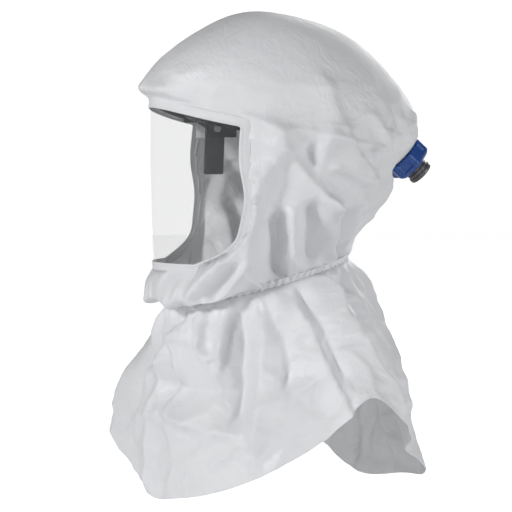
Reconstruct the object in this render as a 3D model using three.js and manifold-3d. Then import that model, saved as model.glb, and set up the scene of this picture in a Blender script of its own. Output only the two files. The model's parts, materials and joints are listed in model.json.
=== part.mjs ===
// Loose-fitting hood of a powered air respirator: a fabric hood with a clear lens and a shoulder shroud,
// worn over a head suspension that carries the air duct, its inlet and the locking collar at the back.
// Millimetres, +Z up, the wearer looks along -Y. The origin is the centre of the headband, inside the head.
import * as THREE from "three";
import { mergeVertices } from "three/addons/utils/BufferGeometryUtils.js";
import Module from "manifold-3d";

const wasm = await Module();
wasm.setup();

// ---------------------------------------------------------------- driving dimensions
const GAP = 0.35; // clearance between touching pieces
const FABRIC = 1.2; // coated fabric, drawn thicker than it is so that it stays solid
const rad = THREE.MathUtils.degToRad;
const { clamp, lerp, smoothstep } = THREE.MathUtils;

// Sections of the hood from the apex down to the neck. Each is an oval through a front and a back point on
// the mid-plane, with a half width: [front y, front z, back y, back z, half width].
const HOOD_SECTIONS = [
  [-24, 140, -6, 140, 8],
  [-52, 133, 30, 134, 45],
  [-86, 116, 70, 123, 74],
  [-119, 94, 105, 106, 94],
  [-141, 73, 137, 80, 108],
  [-150, 58, 159, 55, 115],
  [-151, 46, 174, 36, 118],
  [-146, 36, 183, 18, 119],
  [-146, 24, 188, 3, 120],
  [-146, 0, 185, -14, 121],
  [-146, -42, 153, -50, 122],
  [-145, -80, 146, -80, 120],
  [-144, -118, 126, -108, 113],
  [-142, -160, 103, -134, 102],
  [-139, -188, 96, -147, 93],
  [-122, -213, 98, -158, 86],
];
const NECK = HOOD_SECTIONS.length - 1;

// Lens: its top edge falls from the brow to the temples, its sides widen, then round into the bottom edge.
const LENS_TOP_FRONT = 24;
const LENS_TOP_DROP = 22;
const LENS_BOTTOM = -162;
const LENS_HALF_ANGLE_TOP = 59;
const LENS_HALF_ANGLE_MID = 65;
const LENS_HALF_ANGLE_BOTTOM = 41;
const LENS_THICK = 1;
const BINDING_WIDTH = 11;

// Hem of the shroud as it drapes over the chest, the shoulders and the back: front first, then round by the
// wearer's left.
const HEM = [
  [0, -143, -447], [60, -138, -441], [125, -108, -427], [172, -60, -402],
  [196, 10, -358], [202, 62, -312], [172, 112, -345], [95, 170, -415],
  [0, 176, -431], [-95, 154, -442], [-160, 127, -412], [-198, 85, -352],
  [-206, 20, -322], [-206, -50, -340], [-180, -140, -378], [-95, -138, -430],
].map((p) => new THREE.Vector3(...p));

// Headband: a flat band round the forehead with straight ends at the nape, lower at the back.
const BAND_HALF_WIDTH = 80;
const BAND_FRONT = 100;
const BAND_REAR = 96;
const BAND_CORNER = 34;
const BAND_END = 40;
const BAND_HEIGHT = 20;
const BAND_THICK = 2;
const BAND_SLOPE = -0.2;
const bandLevel = (y) => 2 + BAND_SLOPE * y;

// Nape adjuster: two racks driven in opposite directions by one pinion.
const NAPE_Z = bandLevel(BAND_REAR) + 1;
const MODULE = 1;
const PINION_TEETH = 10;
const PINION_R = (MODULE * PINION_TEETH) / 2;
const RACK_Y = 101.5;
const RACK_THICK = 4;
const RACK_PITCH = Math.PI * MODULE;
const RACK_END = 57;
const HOUSING = { halfX: 36, halfZ: 17, y0: 97, y1: 107.5 };
const KNOB = { r: 17, y0: 110.5, y1: 125 };

// Air inlet, on an axis that points back and down out of the hood.
const INLET_TILT = rad(42);
const INLET_POINT = new THREE.Vector3(0, 170, -32); // centre of the collar's inner face
const INLET_AXIS = new THREE.Vector3(0, Math.cos(INLET_TILT), -Math.sin(INLET_TILT));
const COLLAR = { acrossFlats: 51, length: 26, bore: 19.2 };
const STUB = { inner: 15, outer: 17.6, flange: 27 };
const SOCKET = { inner: 11.3, outer: 14.6, lip: 15.9, end: 40 };

// Air duct over the crown, as [y, z] points of its centre line on the mid-plane, from the brow to the inlet.
const DUCT_LINE = [
  [-97, 89], [-72, 102], [-40, 113.5], [-8, 118.5], [28, 116],
  [64, 104], [97, 84], [123, 57], [141, 29], [148, 8],
];
const DUCT = { halfWidth: 26, halfThick: 7.5, wall: 1.5 };
const SQUARENESS = 4; // exponent of the duct's rounded-rectangle section

// Temple blocks and the hangers that hold the hood's sides to the suspension.
const TEMPLE = { y: -33, z: -3, halfY: 18, halfZ: 11, x0: 82.6, x1: 89.4 };
const HANGER = { y: -40, top: 6, bottom: -60, halfWidth: 12, x0: 89.9, x1: 92.4 };

const GREY_FABRIC = 0xe8eaec;

// ---------------------------------------------------------------- solids
function solidOf(vertices, triangles) {
  const vertProperties = new Float32Array(vertices);
  const make = (tris) =>
    new wasm.Manifold(new wasm.Mesh({ numProp: 3, vertProperties, triVerts: new Uint32Array(tris) }));
  const solid = make(triangles);
  if (solid.volume() > 0) return solid;
  const turned = [];
  for (let i = 0; i < triangles.length; i += 3) {
    turned.push(triangles[i], triangles[i + 2], triangles[i + 1]);
  }
  return make(turned);
}

function solidOfGeometry(geometry) {
  const bare = geometry.index ? geometry.toNonIndexed() : geometry.clone();
  bare.deleteAttribute("normal");
  bare.deleteAttribute("uv");
  const merged = mergeVertices(bare, 1e-4);
  return solidOf(merged.attributes.position.array, [...merged.index.array]);
}

function geometryOf(solid) {
  const mesh = solid.getMesh();
  const geometry = new THREE.BufferGeometry();
  const positions = new Float32Array(mesh.numVert * 3);
  for (let i = 0; i < mesh.numVert; i++) {
    positions.set(mesh.vertProperties.subarray(i * mesh.numProp, i * mesh.numProp + 3), i * 3);
  }
  geometry.setAttribute("position", new THREE.BufferAttribute(positions, 3));
  geometry.setIndex(new THREE.BufferAttribute(mesh.triVerts, 1));
  geometry.computeVertexNormals();
  return geometry;
}

// A solid between two offsets of a surface, measured along its normal. surface(p, q) is a point for p and q
// from 0 to 1. Option closed joins p = 1 to p = 0, and capped closes the small ring at q = 0.
function sheetSolid(surface, countP, countQ, low, high, options = {}) {
  const { closed = false, capped = false, flip = false } = options;
  const columns = closed ? countP : countP + 1;
  const rows = countQ + 1;
  const eps = 1e-3;
  const wrap = (p) => (closed ? (p + 1) % 1 : clamp(p, 0, 1));
  const vertices = [];
  const triangles = [];
  const layer = (offset) => {
    for (let i = 0; i < columns; i++) {
      for (let j = 0; j < rows; j++) {
        const p = i / countP;
        const q = j / countQ;
        const alongP = surface(wrap(p + eps), q).sub(surface(wrap(p - eps), q));
        const alongQ = surface(p, Math.min(q + eps, 1)).sub(surface(p, Math.max(q - eps, 0)));
        const normal = alongP.cross(alongQ).normalize();
        vertices.push(...surface(p, q).addScaledVector(normal, flip ? -offset : offset).toArray());
      }
    }
  };
  layer(high);
  layer(low);
  const at = (side, i, j) => side * columns * rows + (i % columns) * rows + j;
  const quad = (a, b, c, d) => triangles.push(a, b, c, a, c, d);
  for (let i = 0; i < countP; i++) {
    for (let j = 0; j < countQ; j++) {
      quad(at(0, i, j), at(0, i + 1, j), at(0, i + 1, j + 1), at(0, i, j + 1));
      quad(at(1, i, j), at(1, i, j + 1), at(1, i + 1, j + 1), at(1, i + 1, j));
    }
    if (!capped) quad(at(0, i, 0), at(1, i, 0), at(1, i + 1, 0), at(0, i + 1, 0));
    quad(at(0, i, countQ), at(0, i + 1, countQ), at(1, i + 1, countQ), at(1, i, countQ));
  }
  if (!closed) {
    for (let j = 0; j < countQ; j++) {
      quad(at(0, 0, j), at(0, 0, j + 1), at(1, 0, j + 1), at(1, 0, j));
      quad(at(0, countP, j), at(1, countP, j), at(1, countP, j + 1), at(0, countP, j + 1));
    }
  }
  if (capped) {
    for (const side of [0, 1]) {
      const centre = new THREE.Vector3();
      for (let i = 0; i < columns; i++) {
        centre.add(new THREE.Vector3().fromArray(vertices, at(side, i, 0) * 3));
      }
      vertices.push(...centre.divideScalar(columns).toArray());
      const c = vertices.length / 3 - 1;
      for (let i = 0; i < countP; i++) {
        if (side) triangles.push(c, at(side, i, 0), at(side, i + 1, 0));
        else triangles.push(c, at(side, i + 1, 0), at(side, i, 0));
      }
    }
  }
  return solidOf(vertices, triangles);
}

// A closed ring of round section along a closed curve: curve(p) for p from 0 to 1.
function ringSolid(curve, radius, countP, countQ) {
  const vertices = [];
  const triangles = [];
  const eps = 1e-3;
  for (let i = 0; i < countP; i++) {
    const p = i / countP;
    const tangent = curve((p + eps) % 1).sub(curve((p - eps + 1) % 1)).normalize();
    const side = new THREE.Vector3(0, 0, 1).cross(tangent).normalize();
    const up = tangent.clone().cross(side);
    for (let j = 0; j < countQ; j++) {
      const a = (2 * Math.PI * j) / countQ;
      const point = curve(p).addScaledVector(side, radius * Math.cos(a));
      point.addScaledVector(up, radius * Math.sin(a));
      vertices.push(...point.toArray());
    }
  }
  const at = (i, j) => (i % countP) * countQ + (j % countQ);
  for (let i = 0; i < countP; i++) {
    for (let j = 0; j < countQ; j++) {
      triangles.push(at(i, j), at(i + 1, j), at(i + 1, j + 1), at(i, j), at(i + 1, j + 1), at(i, j + 1));
    }
  }
  return solidOf(vertices, triangles);
}

// A solid of revolution about the inlet axis. The profile is [radius, distance along the axis] and either
// closes on itself or starts and ends on the axis.
function turnedOnInlet(profile, segments = 48) {
  const loop = profile[0][0] === 0 ? profile : [...profile, profile[0]];
  const points = loop.map(([r, s]) => new THREE.Vector2(r, s));
  const geometry = new THREE.LatheGeometry(points, segments);
  return solidOfGeometry(placeOnInlet(geometry));
}

function placeOnInlet(geometry) {
  const turn = new THREE.Quaternion().setFromUnitVectors(new THREE.Vector3(0, 1, 0), INLET_AXIS);
  return geometry.applyQuaternion(turn).translate(...INLET_POINT.toArray());
}

const onInlet = (along) => INLET_POINT.clone().addScaledVector(INLET_AXIS, along);

// A box between two corners.
function block(x0, x1, y0, y1, z0, z1) {
  const geometry = new THREE.BoxGeometry(x1 - x0, y1 - y0, z1 - z0);
  return solidOfGeometry(geometry.translate((x0 + x1) / 2, (y0 + y1) / 2, (z0 + z1) / 2));
}

// A cylinder from one point to another.
function rod(from, to, radius, segments = 24) {
  const along = to.clone().sub(from);
  const geometry = new THREE.CylinderGeometry(radius, radius, along.length(), segments);
  geometry.applyQuaternion(
    new THREE.Quaternion().setFromUnitVectors(new THREE.Vector3(0, 1, 0), along.clone().normalize()),
  );
  return solidOfGeometry(geometry.translate(...from.clone().add(to).multiplyScalar(0.5).toArray()));
}

const vec = (x, y, z) => new THREE.Vector3(x, y, z);

// Extrudes an outline drawn in x and z along +Y, between y0 and y1.
function plateXZ(points, y0, y1) {
  const shape = new THREE.Shape(points.map(([x, z]) => new THREE.Vector2(x, z)));
  const geometry = new THREE.ExtrudeGeometry(shape, { depth: y1 - y0, bevelEnabled: false });
  return solidOfGeometry(geometry.rotateX(Math.PI / 2).translate(0, y1, 0));
}

// Extrudes an outline drawn in y and z along +X, between x0 and x1.
function plateYZ(points, x0, x1) {
  const shape = new THREE.Shape(points.map(([y, z]) => new THREE.Vector2(y, z)));
  const geometry = new THREE.ExtrudeGeometry(shape, { depth: x1 - x0, bevelEnabled: false });
  return solidOfGeometry(geometry.rotateX(Math.PI / 2).rotateZ(Math.PI / 2).translate(x0, 0, 0));
}

// The outline of a rectangle with round corners, centred on (cx, cy).
function roundedRect(cx, cy, halfX, halfY, r, steps = 4) {
  const points = [];
  const corners = [[1, 1, 0], [-1, 1, 90], [-1, -1, 180], [1, -1, 270]];
  for (const [sx, sy, start] of corners) {
    for (let i = 0; i <= steps; i++) {
      const a = rad(start + (90 * i) / steps);
      points.push([cx + sx * (halfX - r) + r * Math.cos(a), cy + sy * (halfY - r) + r * Math.sin(a)]);
    }
  }
  return points;
}

// ---------------------------------------------------------------- the hood's surface
function sectionAt(t) {
  const i = Math.min(Math.floor(t), NECK - 1);
  const f = t - i;
  const rows = [-1, 0, 1, 2].map((k) => HOOD_SECTIONS[clamp(i + k, 0, NECK)]);
  return rows[0].map((_, k) => {
    const [a, b, c, d] = rows.map((row) => row[k]);
    return b + 0.5 * f * (c - a + f * (2 * a - 5 * b + 4 * c - d + f * (3 * (b - c) + d - a)));
  });
}

// The point at an angle from the front, in degrees and positive to +X, on section t.
function hoodPoint(angle, t) {
  const [frontY, frontZ, backY, backZ, half] = sectionAt(clamp(t, 0, NECK));
  const c = Math.cos(rad(angle));
  const back = (1 - c) / 2;
  return vec(half * Math.sin(rad(angle)), lerp(frontY, backY, back), lerp(frontZ, backZ, back));
}

// The section that passes through height z at an angle.
function sectionThrough(angle, z) {
  let low = 0;
  let high = NECK;
  for (let i = 0; i < 40; i++) {
    const mid = (low + high) / 2;
    if (hoodPoint(angle, mid).z > z) low = mid;
    else high = mid;
  }
  return low;
}

const hoodAt = (angle, z) => hoodPoint(angle, sectionThrough(angle, z));
const neckZ = (angle) => hoodPoint(angle, NECK).z;

// The point a depth inside the hood at an angle and height.
function hoodInside(angle, z, depth) {
  const along = hoodAt(angle + 0.1, z).sub(hoodAt(angle - 0.1, z));
  const down = hoodAt(angle, z - 0.2).sub(hoodAt(angle, z + 0.2));
  return hoodAt(angle, z).addScaledVector(along.cross(down).normalize(), depth);
}

// Lens outline as [angle, z] for across from -1 to 1 and down from 0 to 1.
function lensTop(angle) {
  const ratio = Math.sin(rad(angle)) / Math.sin(rad(LENS_HALF_ANGLE_TOP));
  return LENS_TOP_FRONT - LENS_TOP_DROP * ratio ** 2;
}

function lensSide(down) {
  const widened = lerp(LENS_HALF_ANGLE_TOP, LENS_HALF_ANGLE_MID, smoothstep(down, 0, 0.6));
  return widened - (LENS_HALF_ANGLE_MID - LENS_HALF_ANGLE_BOTTOM) * Math.max(0, (down - 0.72) / 0.28) ** 3;
}

function lensMap(across, down) {
  const angle = across * lensSide(down);
  return [angle, lerp(lensTop(angle), LENS_BOTTOM, down)];
}

// The lens outline as a closed loop from 0 to 1, from the brow round by +X, moved out by a distance in mm.
const ARC_MM_PER_DEGREE = 2.15; // along the hood's surface beside the lens
function lensLoop(loop, out) {
  const along = (s) => {
    const side = (((s % 1) + 1) % 1) * 8;
    if (side < 1) return lensMap(side, 0);
    if (side < 3.2) return lensMap(1, (side - 1) / 2.2);
    if (side < 4.8) return lensMap((4 - side) / 0.8, 1);
    if (side < 7) return lensMap(-1, (7 - side) / 2.2);
    return lensMap(side - 8, 0);
  };
  const [angle, z] = along(loop);
  const [a0, z0] = along(loop - 0.012);
  const [a1, z1] = along(loop + 0.012);
  const du = (a1 - a0) * ARC_MM_PER_DEGREE;
  const dz = z1 - z0;
  const size = Math.hypot(du, dz);
  return [angle + ((-dz / size) * out) / ARC_MM_PER_DEGREE, z + (du / size) * out];
}

// Where the side panel starts beside the lens and the chin panel, in degrees, by height.
const SIDE_START = [
  [40, 66.5], [13, 66.5], [-40, 69.2], [-100, 71.3], [-126, 71.2], [-136, 70.2], [-145, 68.2], [-158, 61.6],
  [-168, 52], [-174, 44.5], [-230, 42],
];
function sideStart(z) {
  for (let i = 1; i < SIDE_START.length; i++) {
    const [z0, a0] = SIDE_START[i - 1];
    const [z1, a1] = SIDE_START[i];
    if (z >= z1) return lerp(a1, a0, clamp((z - z1) / (z0 - z1), 0, 1));
  }
  return SIDE_START.at(-1)[1];
}

// Height of the seam between the crown panel and the rest, by angle.
function seamZ(angle) {
  const a = Math.abs(angle);
  const overLens = lensTop(Math.min(a, 66)) + BINDING_WIDTH + 1.4;
  return a < 66 ? overLens : lerp(overLens, -11, smoothstep(a, 66, 180));
}

// ---------------------------------------------------------------- soft goods
function crownPanel() {
  const surface = (p, q) => {
    const angle = p * 360;
    const signed = angle > 180 ? angle - 360 : angle;
    return hoodPoint(angle, sectionThrough(signed, seamZ(signed)) * q ** 0.85);
  };
  return sheetSolid(surface, 36, 8, -FABRIC, 0, { closed: true, capped: true, flip: true });
}

function sidePanel(side) {
  const surface = (p, q) => {
    let angle = 60;
    let z = 0;
    for (let i = 0; i < 12; i++) {
      z = lerp(seamZ(angle) - GAP, neckZ(angle), q);
      angle = lerp(sideStart(z), 180 - 0.2, p);
    }
    return hoodAt(side * angle, lerp(seamZ(angle) - GAP - 0.4, neckZ(angle), q));
  };
  return sheetSolid(surface, 12, 10, -FABRIC, 0, { flip: side > 0 });
}

function chinPanel() {
  const surface = (p, q) => {
    const reach = lerp(LENS_HALF_ANGLE_BOTTOM + 1.3, LENS_HALF_ANGLE_BOTTOM + 0.3, q);
    const angle = lerp(-reach, reach, p);
    return hoodAt(angle, lerp(LENS_BOTTOM - BINDING_WIDTH - 1.2, neckZ(angle), q));
  };
  return sheetSolid(surface, 12, 4, -FABRIC, 0, { flip: true });
}

function lens() {
  const inset = 0.965; // the binding covers the lens's edge
  const surface = (p, q) => {
    const [angle, z] = lensMap((2 * p - 1) * 1.04, lerp(1 - inset, inset, q) * 1.06 - 0.03);
    return hoodAt(angle, z);
  };
  return sheetSolid(surface, 18, 8, -FABRIC - 0.5 - LENS_THICK, -FABRIC - 0.5, { flip: true });
}

function lensBinding() {
  const surface = (p, q) => hoodAt(...lensLoop(p, lerp(0, BINDING_WIDTH, q)));
  return sheetSolid(surface, 56, 1, -FABRIC, 0, { closed: true, flip: false });
}

// The neck edge of the shroud, by loop position.
function neckLoop(loop, z = 0) {
  return hoodPoint(loop * 360, NECK).add(vec(0, 0, z));
}

const hemCurve = new THREE.CatmullRomCurve3(HEM, true, "centripetal");
const hemPoint = (loop) => {
  const at = (((loop % 1) + 1) % 1) * HEM.length;
  return hemCurve.getPoint(at / HEM.length);
};

function shroudSurface(loop, down) {
  const from = neckLoop(((loop % 1) + 1) % 1, -1.2);
  const to = hemPoint(loop);
  const out = down ** 0.72;
  return vec(lerp(from.x, to.x, out), lerp(from.y, to.y, out), lerp(from.z, to.z, down));
}

// Half of the shroud: the front over the chest or the back over the shoulder blades, sewn on the shoulders.
function shroudPanel(centre) {
  const reach = 0.25 - 0.0008;
  const surface = (p, q) => shroudSurface(centre + lerp(-reach, reach, p), q);
  return sheetSolid(surface, 18, 6, -FABRIC, 0, { flip: true });
}

function neckElastic() {
  const curve = (p) => {
    const point = hoodPoint(p * 360, NECK - 0.12);
    return vec(point.x * 0.94, lerp(-12, point.y, 0.95), point.z + 2);
  };
  return ringSolid(curve, 2.2, 40, 6);
}

function inletPatch() {
  return turnedOnInlet([[18.9, -1.5], [33.6, -1.5], [33.6, -0.4], [18.9, -0.4]], 40);
}

// Fabric tab inside the hood, from the lens's top corner to the hanger's stud.
function hoodTab(side) {
  const from = hoodAt(58, 5);
  const surface = (p, q) => {
    const start = vec(from.x - 5, from.y + 4, 0);
    const end = vec(HANGER.x1 + 2.2, HANGER.y + 8, 0);
    const point = start.lerp(end, p);
    return vec(side * point.x, point.y, lerp(7, -7, q) + lerp(-8, TEMPLE.z, p));
  };
  return sheetSolid(surface, 3, 1, -0.4, 0.4).subtract(
    rod(vec(side * 80, HANGER.y, 0), vec(side * 110, HANGER.y, 0), 3.4),
  );
}

// ---------------------------------------------------------------- head suspension
// The headband's path: half an ellipse at the front, straight sides and rounded rear corners.
// It is walked by length from the middle of the forehead, positive to +X.
const SIDE_END = BAND_REAR - BAND_CORNER;
const bandPath = new THREE.CurvePath();
bandPath.add(new THREE.EllipseCurve(0, 0, BAND_HALF_WIDTH, BAND_FRONT, -Math.PI / 2, 0));
const lineXY = (x0, y0, x1, y1) => new THREE.LineCurve(new THREE.Vector2(x0, y0), new THREE.Vector2(x1, y1));
bandPath.add(lineXY(BAND_HALF_WIDTH, 0, BAND_HALF_WIDTH, SIDE_END));
bandPath.add(
  new THREE.EllipseCurve(BAND_HALF_WIDTH - BAND_CORNER, SIDE_END, BAND_CORNER, BAND_CORNER, 0, Math.PI / 2),
);
bandPath.add(lineXY(BAND_HALF_WIDTH - BAND_CORNER, BAND_REAR, BAND_END, BAND_REAR));

function bandPoint(along) {
  const point = bandPath.getPointAt(clamp(Math.abs(along), 0, 1));
  return vec(Math.sign(along || 1) * point.x, point.y, 0);
}

function bandStrip(from, to, height, low, high, countP) {
  const surface = (p, q) => {
    const point = bandPoint(lerp(from, to, p));
    return point.setZ(bandLevel(point.y) + lerp(-height / 2, height / 2, q));
  };
  return sheetSolid(surface, countP, 1, low, high, { flip: false });
}

// Snap stud: a shank with a head at each end, along a direction.
function stud(centre, direction, gripHalf, shank = 2.6, head = 5) {
  const at = (s) => centre.clone().addScaledVector(direction, s);
  const tip = gripHalf + 1.6;
  return rod(at(-tip), at(tip), shank, 16)
    .add(rod(at(-tip), at(-gripHalf), head, 16))
    .add(rod(at(gripHalf), at(tip), head, 16));
}

const STUDS = {
  front: { centre: vec(0, -101.2, bandLevel(-BAND_FRONT) + 3), direction: vec(0, 1, 0), grip: 2.75 },
  left: { centre: vec(78.9, 12, bandLevel(12) + 3), direction: vec(1, 0, 0), grip: 2.5 },
  right: { centre: vec(-78.9, 12, bandLevel(12) + 3), direction: vec(1, 0, 0), grip: 2.5 },
  rear: { centre: vec(0, 97.2, 6.5), direction: vec(0, 1, 0), grip: 2.2 },
};
const studHole = ({ centre, direction }) =>
  rod(centre.clone().addScaledVector(direction, -9), centre.clone().addScaledVector(direction, 9), 3, 16);

// Foam strip inside the band's front, hollowed behind the strap stud.
function sweatband() {
  const pocket = rod(vec(0, -102, STUDS.front.centre.z), vec(0, -96.4, STUDS.front.centre.z), 5.5, 16);
  return bandStrip(-0.36, 0.36, 24, -5.2, -1.4, 24).subtract(pocket);
}

function headband() {
  let band = bandStrip(-1, 1, BAND_HEIGHT, -BAND_THICK / 2, BAND_THICK / 2, 48);
  for (const name of ["front", "left", "right"]) band = band.subtract(studHole(STUDS[name]));
  return band;
}

// Mid-surface of the front-to-back strap. It passes outside the headband, inside the nape housing's tab.
const STRAP_THICK = 1.5;
function strapLine(p, q) {
  const a = Math.PI * p;
  const level = p < 0.5 ? bandLevel(-BAND_FRONT) - 4 : 1.5;
  const y = lerp(-BAND_FRONT - 2.8, BAND_REAR + 0.2, (1 - Math.cos(a)) / 2);
  return vec(lerp(-10, 10, q), y, level + (99 - level) * Math.sin(a) ** 0.8);
}

function crownStrapLong() {
  return sheetSolid(strapLine, 28, 1, -STRAP_THICK / 2, STRAP_THICK / 2)
    .subtract(studHole(STUDS.front))
    .subtract(studHole(STUDS.rear));
}

function crownStrapCross() {
  const foot = BAND_HALF_WIDTH - 2.1;
  const surface = (p, q) => {
    const a = Math.PI * p;
    const level = -7;
    return vec(-foot * Math.cos(a), lerp(2, 22, q), level + (94.5 - level) * Math.sin(a) ** 0.8);
  };
  return sheetSolid(surface, 28, 1, -STRAP_THICK / 2, STRAP_THICK / 2, { flip: true })
    .subtract(studHole(STUDS.left))
    .subtract(studHole(STUDS.right));
}

function crownPad() {
  const surface = (p, q) => {
    const x = lerp(-34, 34, p);
    const y = lerp(-24, 42, q);
    return vec(x, y, 90.5 - (x * x) / 110 - ((y - 9) * (y - 9)) / 190);
  };
  return sheetSolid(surface, 8, 8, -4, 0, { flip: false });
}

function templeBlock(side) {
  const { y, z, halfY, halfZ, x0, x1 } = TEMPLE;
  let solid = block(x0, x1, y - halfY, y + halfY, z - halfZ, z + halfZ);
  for (let i = 0; i < 5; i++) {
    const groove = y + 3 + i * 3;
    const cut = block(x0 - 1, x0 + 1.4, groove - 0.7, groove + 0.7, z - halfZ - 1, z + halfZ + 1);
    solid = solid.subtract(cut);
  }
  solid = solid.subtract(rod(vec(x0 - 2, HANGER.y, TEMPLE.z), vec(x1 + 2, HANGER.y, TEMPLE.z), 3, 20));
  return side > 0 ? solid : solid.mirror([1, 0, 0]);
}

function hanger(side) {
  const { y, top, bottom, halfWidth, x0, x1 } = HANGER;
  const outline = [
    [y - halfWidth, top], [y - halfWidth + 2, top + 2], [y + halfWidth - 2, top + 2], [y + halfWidth, top],
    [y + halfWidth - 2, bottom + 1], [y + halfWidth - 4, bottom], [y - halfWidth - 1, bottom],
    [y - halfWidth - 3, bottom + 2],
  ];
  const pocket = 0.8;
  let solid = plateYZ(outline, x0, x1);
  solid = solid.subtract(block(x0 - 1, x0 + pocket, y - 6.5, y + 6.5, -32, -15));
  solid = solid.subtract(block(x0 - 1, x0 + pocket, y - 7.5, y + 6, -50, -41));
  solid = solid.subtract(rod(vec(x0 - 2, y, TEMPLE.z), vec(x1 + 2, y, TEMPLE.z), 3, 20));
  return side > 0 ? solid : solid.mirror([1, 0, 0]);
}

function hangerStud(side) {
  const at = (x) => vec(x, HANGER.y, TEMPLE.z);
  const inner = TEMPLE.x0 - GAP;
  const outer = HANGER.x1 + GAP;
  const solid = rod(at(inner - 1), at(outer + 1.4), 2.6, 20)
    .add(rod(at(inner - 1), at(inner), 4.6, 20))
    .add(rod(at(outer), at(outer + 1.4), 5, 20));
  return side > 0 ? solid : solid.mirror([1, 0, 0]);
}

// Curved bar behind the brow that keeps the lens off the face.
const SUPPORT_OFFSET = -6.5;
const SUPPORT_THICK = 2.2;
function lensSupport() {
  const surface = (p, q) => {
    const angle = lerp(-60, 60, p);
    return hoodAt(angle, lensTop(angle) + lerp(3, 12, q));
  };
  return sheetSolid(surface, 22, 1, SUPPORT_OFFSET - SUPPORT_THICK, SUPPORT_OFFSET);
}

// Arm that laps the support's end on the inside and runs back to the temple block.
function supportArm(side) {
  const thick = 2;
  const depth = -SUPPORT_OFFSET + SUPPORT_THICK + GAP + thick / 2;
  const bend = hoodInside(58, 9, depth);
  const end = vec(86, TEMPLE.y - TEMPLE.halfY - 1, 0);
  const surface = (p, q) => {
    const onSupport = p < 0.5;
    const point = onSupport ? hoodInside(lerp(49, 58, 2 * p), 9, depth) : bend.clone().lerp(end, 2 * p - 1);
    return vec(side * point.x, point.y, point.z + lerp(-4, 4, q));
  };
  return sheetSolid(surface, 10, 1, -thick / 2, thick / 2);
}

// ---------------------------------------------------------------- nape adjuster
// Point on a housing screw's axis, on the left (1) or right (-1), at a depth y.
const screwPoint = (side, y) => vec(side * 31, y, NAPE_Z + 13.6);

function housingBase() {
  const { halfX, halfZ, y0, y1 } = HOUSING;
  const outer = plateXZ(roundedRect(0, NAPE_Z, halfX, halfZ, 8), y0, y1);
  const wall = 2;
  const room = block(-halfX + wall, halfX - wall, y0 + wall, y1 + 1, NAPE_Z - 12.3, NAPE_Z + 12.3);
  const slotY = RACK_Y - RACK_THICK / 2 - 0.4;
  const slots = block(-halfX - 1, halfX + 1, slotY, y1 + 1, NAPE_Z - 11.4, NAPE_Z + 11.4);
  const tab = block(-9, 9, y0 + 0.3, y0 + 2, NAPE_Z + halfZ - 1, 13);
  const axle = rod(vec(0, y0 + 1, NAPE_Z), vec(0, y0 + 4.2, NAPE_Z), 1.6, 16);
  let solid = outer.subtract(room).subtract(slots).add(tab).add(axle).subtract(studHole(STUDS.rear));
  for (const x of [-1, 1]) {
    const post = rod(screwPoint(x, y0 + 1), screwPoint(x, y1), 2.4, 12);
    const pilot = rod(screwPoint(x, y0 + 3), screwPoint(x, y1 + 1), 1.3, 12);
    solid = solid.add(post).subtract(pilot);
  }
  return solid;
}

function housingCover() {
  const { halfX, halfZ, y1 } = HOUSING;
  let solid = plateXZ(roundedRect(0, NAPE_Z, halfX, halfZ, 8), y1 + GAP, y1 + GAP + 2.2);
  solid = solid.subtract(rod(vec(0, y1 - 2, NAPE_Z), vec(0, y1 + 6, NAPE_Z), 5, 24));
  for (const x of [-1, 1]) {
    solid = solid.subtract(rod(screwPoint(x, y1 - 1), screwPoint(x, y1 + 6), 1.5, 12));
  }
  return solid;
}

function housingScrew(side) {
  const face = HOUSING.y1 + 2 * GAP + 2.2;
  const { x, z } = screwPoint(side, 0);
  const shank = rod(screwPoint(side, HOUSING.y0 + 3.5), screwPoint(side, face + 1), 1.05, 12);
  const head = rod(screwPoint(side, face), screwPoint(side, face + 1.6), 2.3, 12);
  const slot = block(x - 3, x + 3, face + 1, face + 3, z - 0.35, z + 0.35);
  return shank.add(head).subtract(slot);
}

// Involute pinion outline: pitch radius PINION_R, thinned teeth so that it runs with backlash.
function pinionOutline() {
  const pressure = rad(20);
  const base = PINION_R * Math.cos(pressure);
  const tip = PINION_R + 0.85 * MODULE;
  const root = PINION_R - 1.05 * MODULE;
  const backlash = 0.24;
  const inv = (r) => {
    const a = Math.acos(Math.min(1, base / r));
    return Math.tan(a) - a;
  };
  const half = Math.PI / (2 * PINION_TEETH) - backlash / PINION_R;
  const points = [];
  const flank = [Math.max(base, root), PINION_R, (PINION_R + tip) / 2, tip];
  for (let tooth = 0; tooth < PINION_TEETH; tooth++) {
    const centre = (2 * Math.PI * tooth) / PINION_TEETH;
    const width = (r) => half + inv(PINION_R) - inv(r);
    const polar = (r, a) => points.push([r * Math.cos(a), r * Math.sin(a)]);
    polar(root, centre - width(flank[0]));
    for (const r of flank) polar(r, centre - width(r));
    for (const r of [...flank].reverse()) polar(r, centre + width(r));
    polar(root, centre + width(flank[0]));
  }
  return points;
}

function pinionShaft() {
  const y0 = RACK_Y - RACK_THICK / 2 + 0.2;
  const y1 = RACK_Y + RACK_THICK / 2 - 0.2;
  const outline = pinionOutline().map(([x, z]) => [x, z + NAPE_Z]);
  return plateXZ(outline, y0, y1)
    .add(rod(vec(0, y1 - 0.5, NAPE_Z), vec(0, KNOB.y0 - 0.4, NAPE_Z), 4.4, 24))
    .add(block(-2.4, 2.4, KNOB.y0 - 0.5, KNOB.y0 + 6, NAPE_Z - 2.4, NAPE_Z + 2.4))
    .subtract(rod(vec(0, y0 - 2, NAPE_Z), vec(0, HOUSING.y0 + 4.8, NAPE_Z), 2, 16));
}

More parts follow.
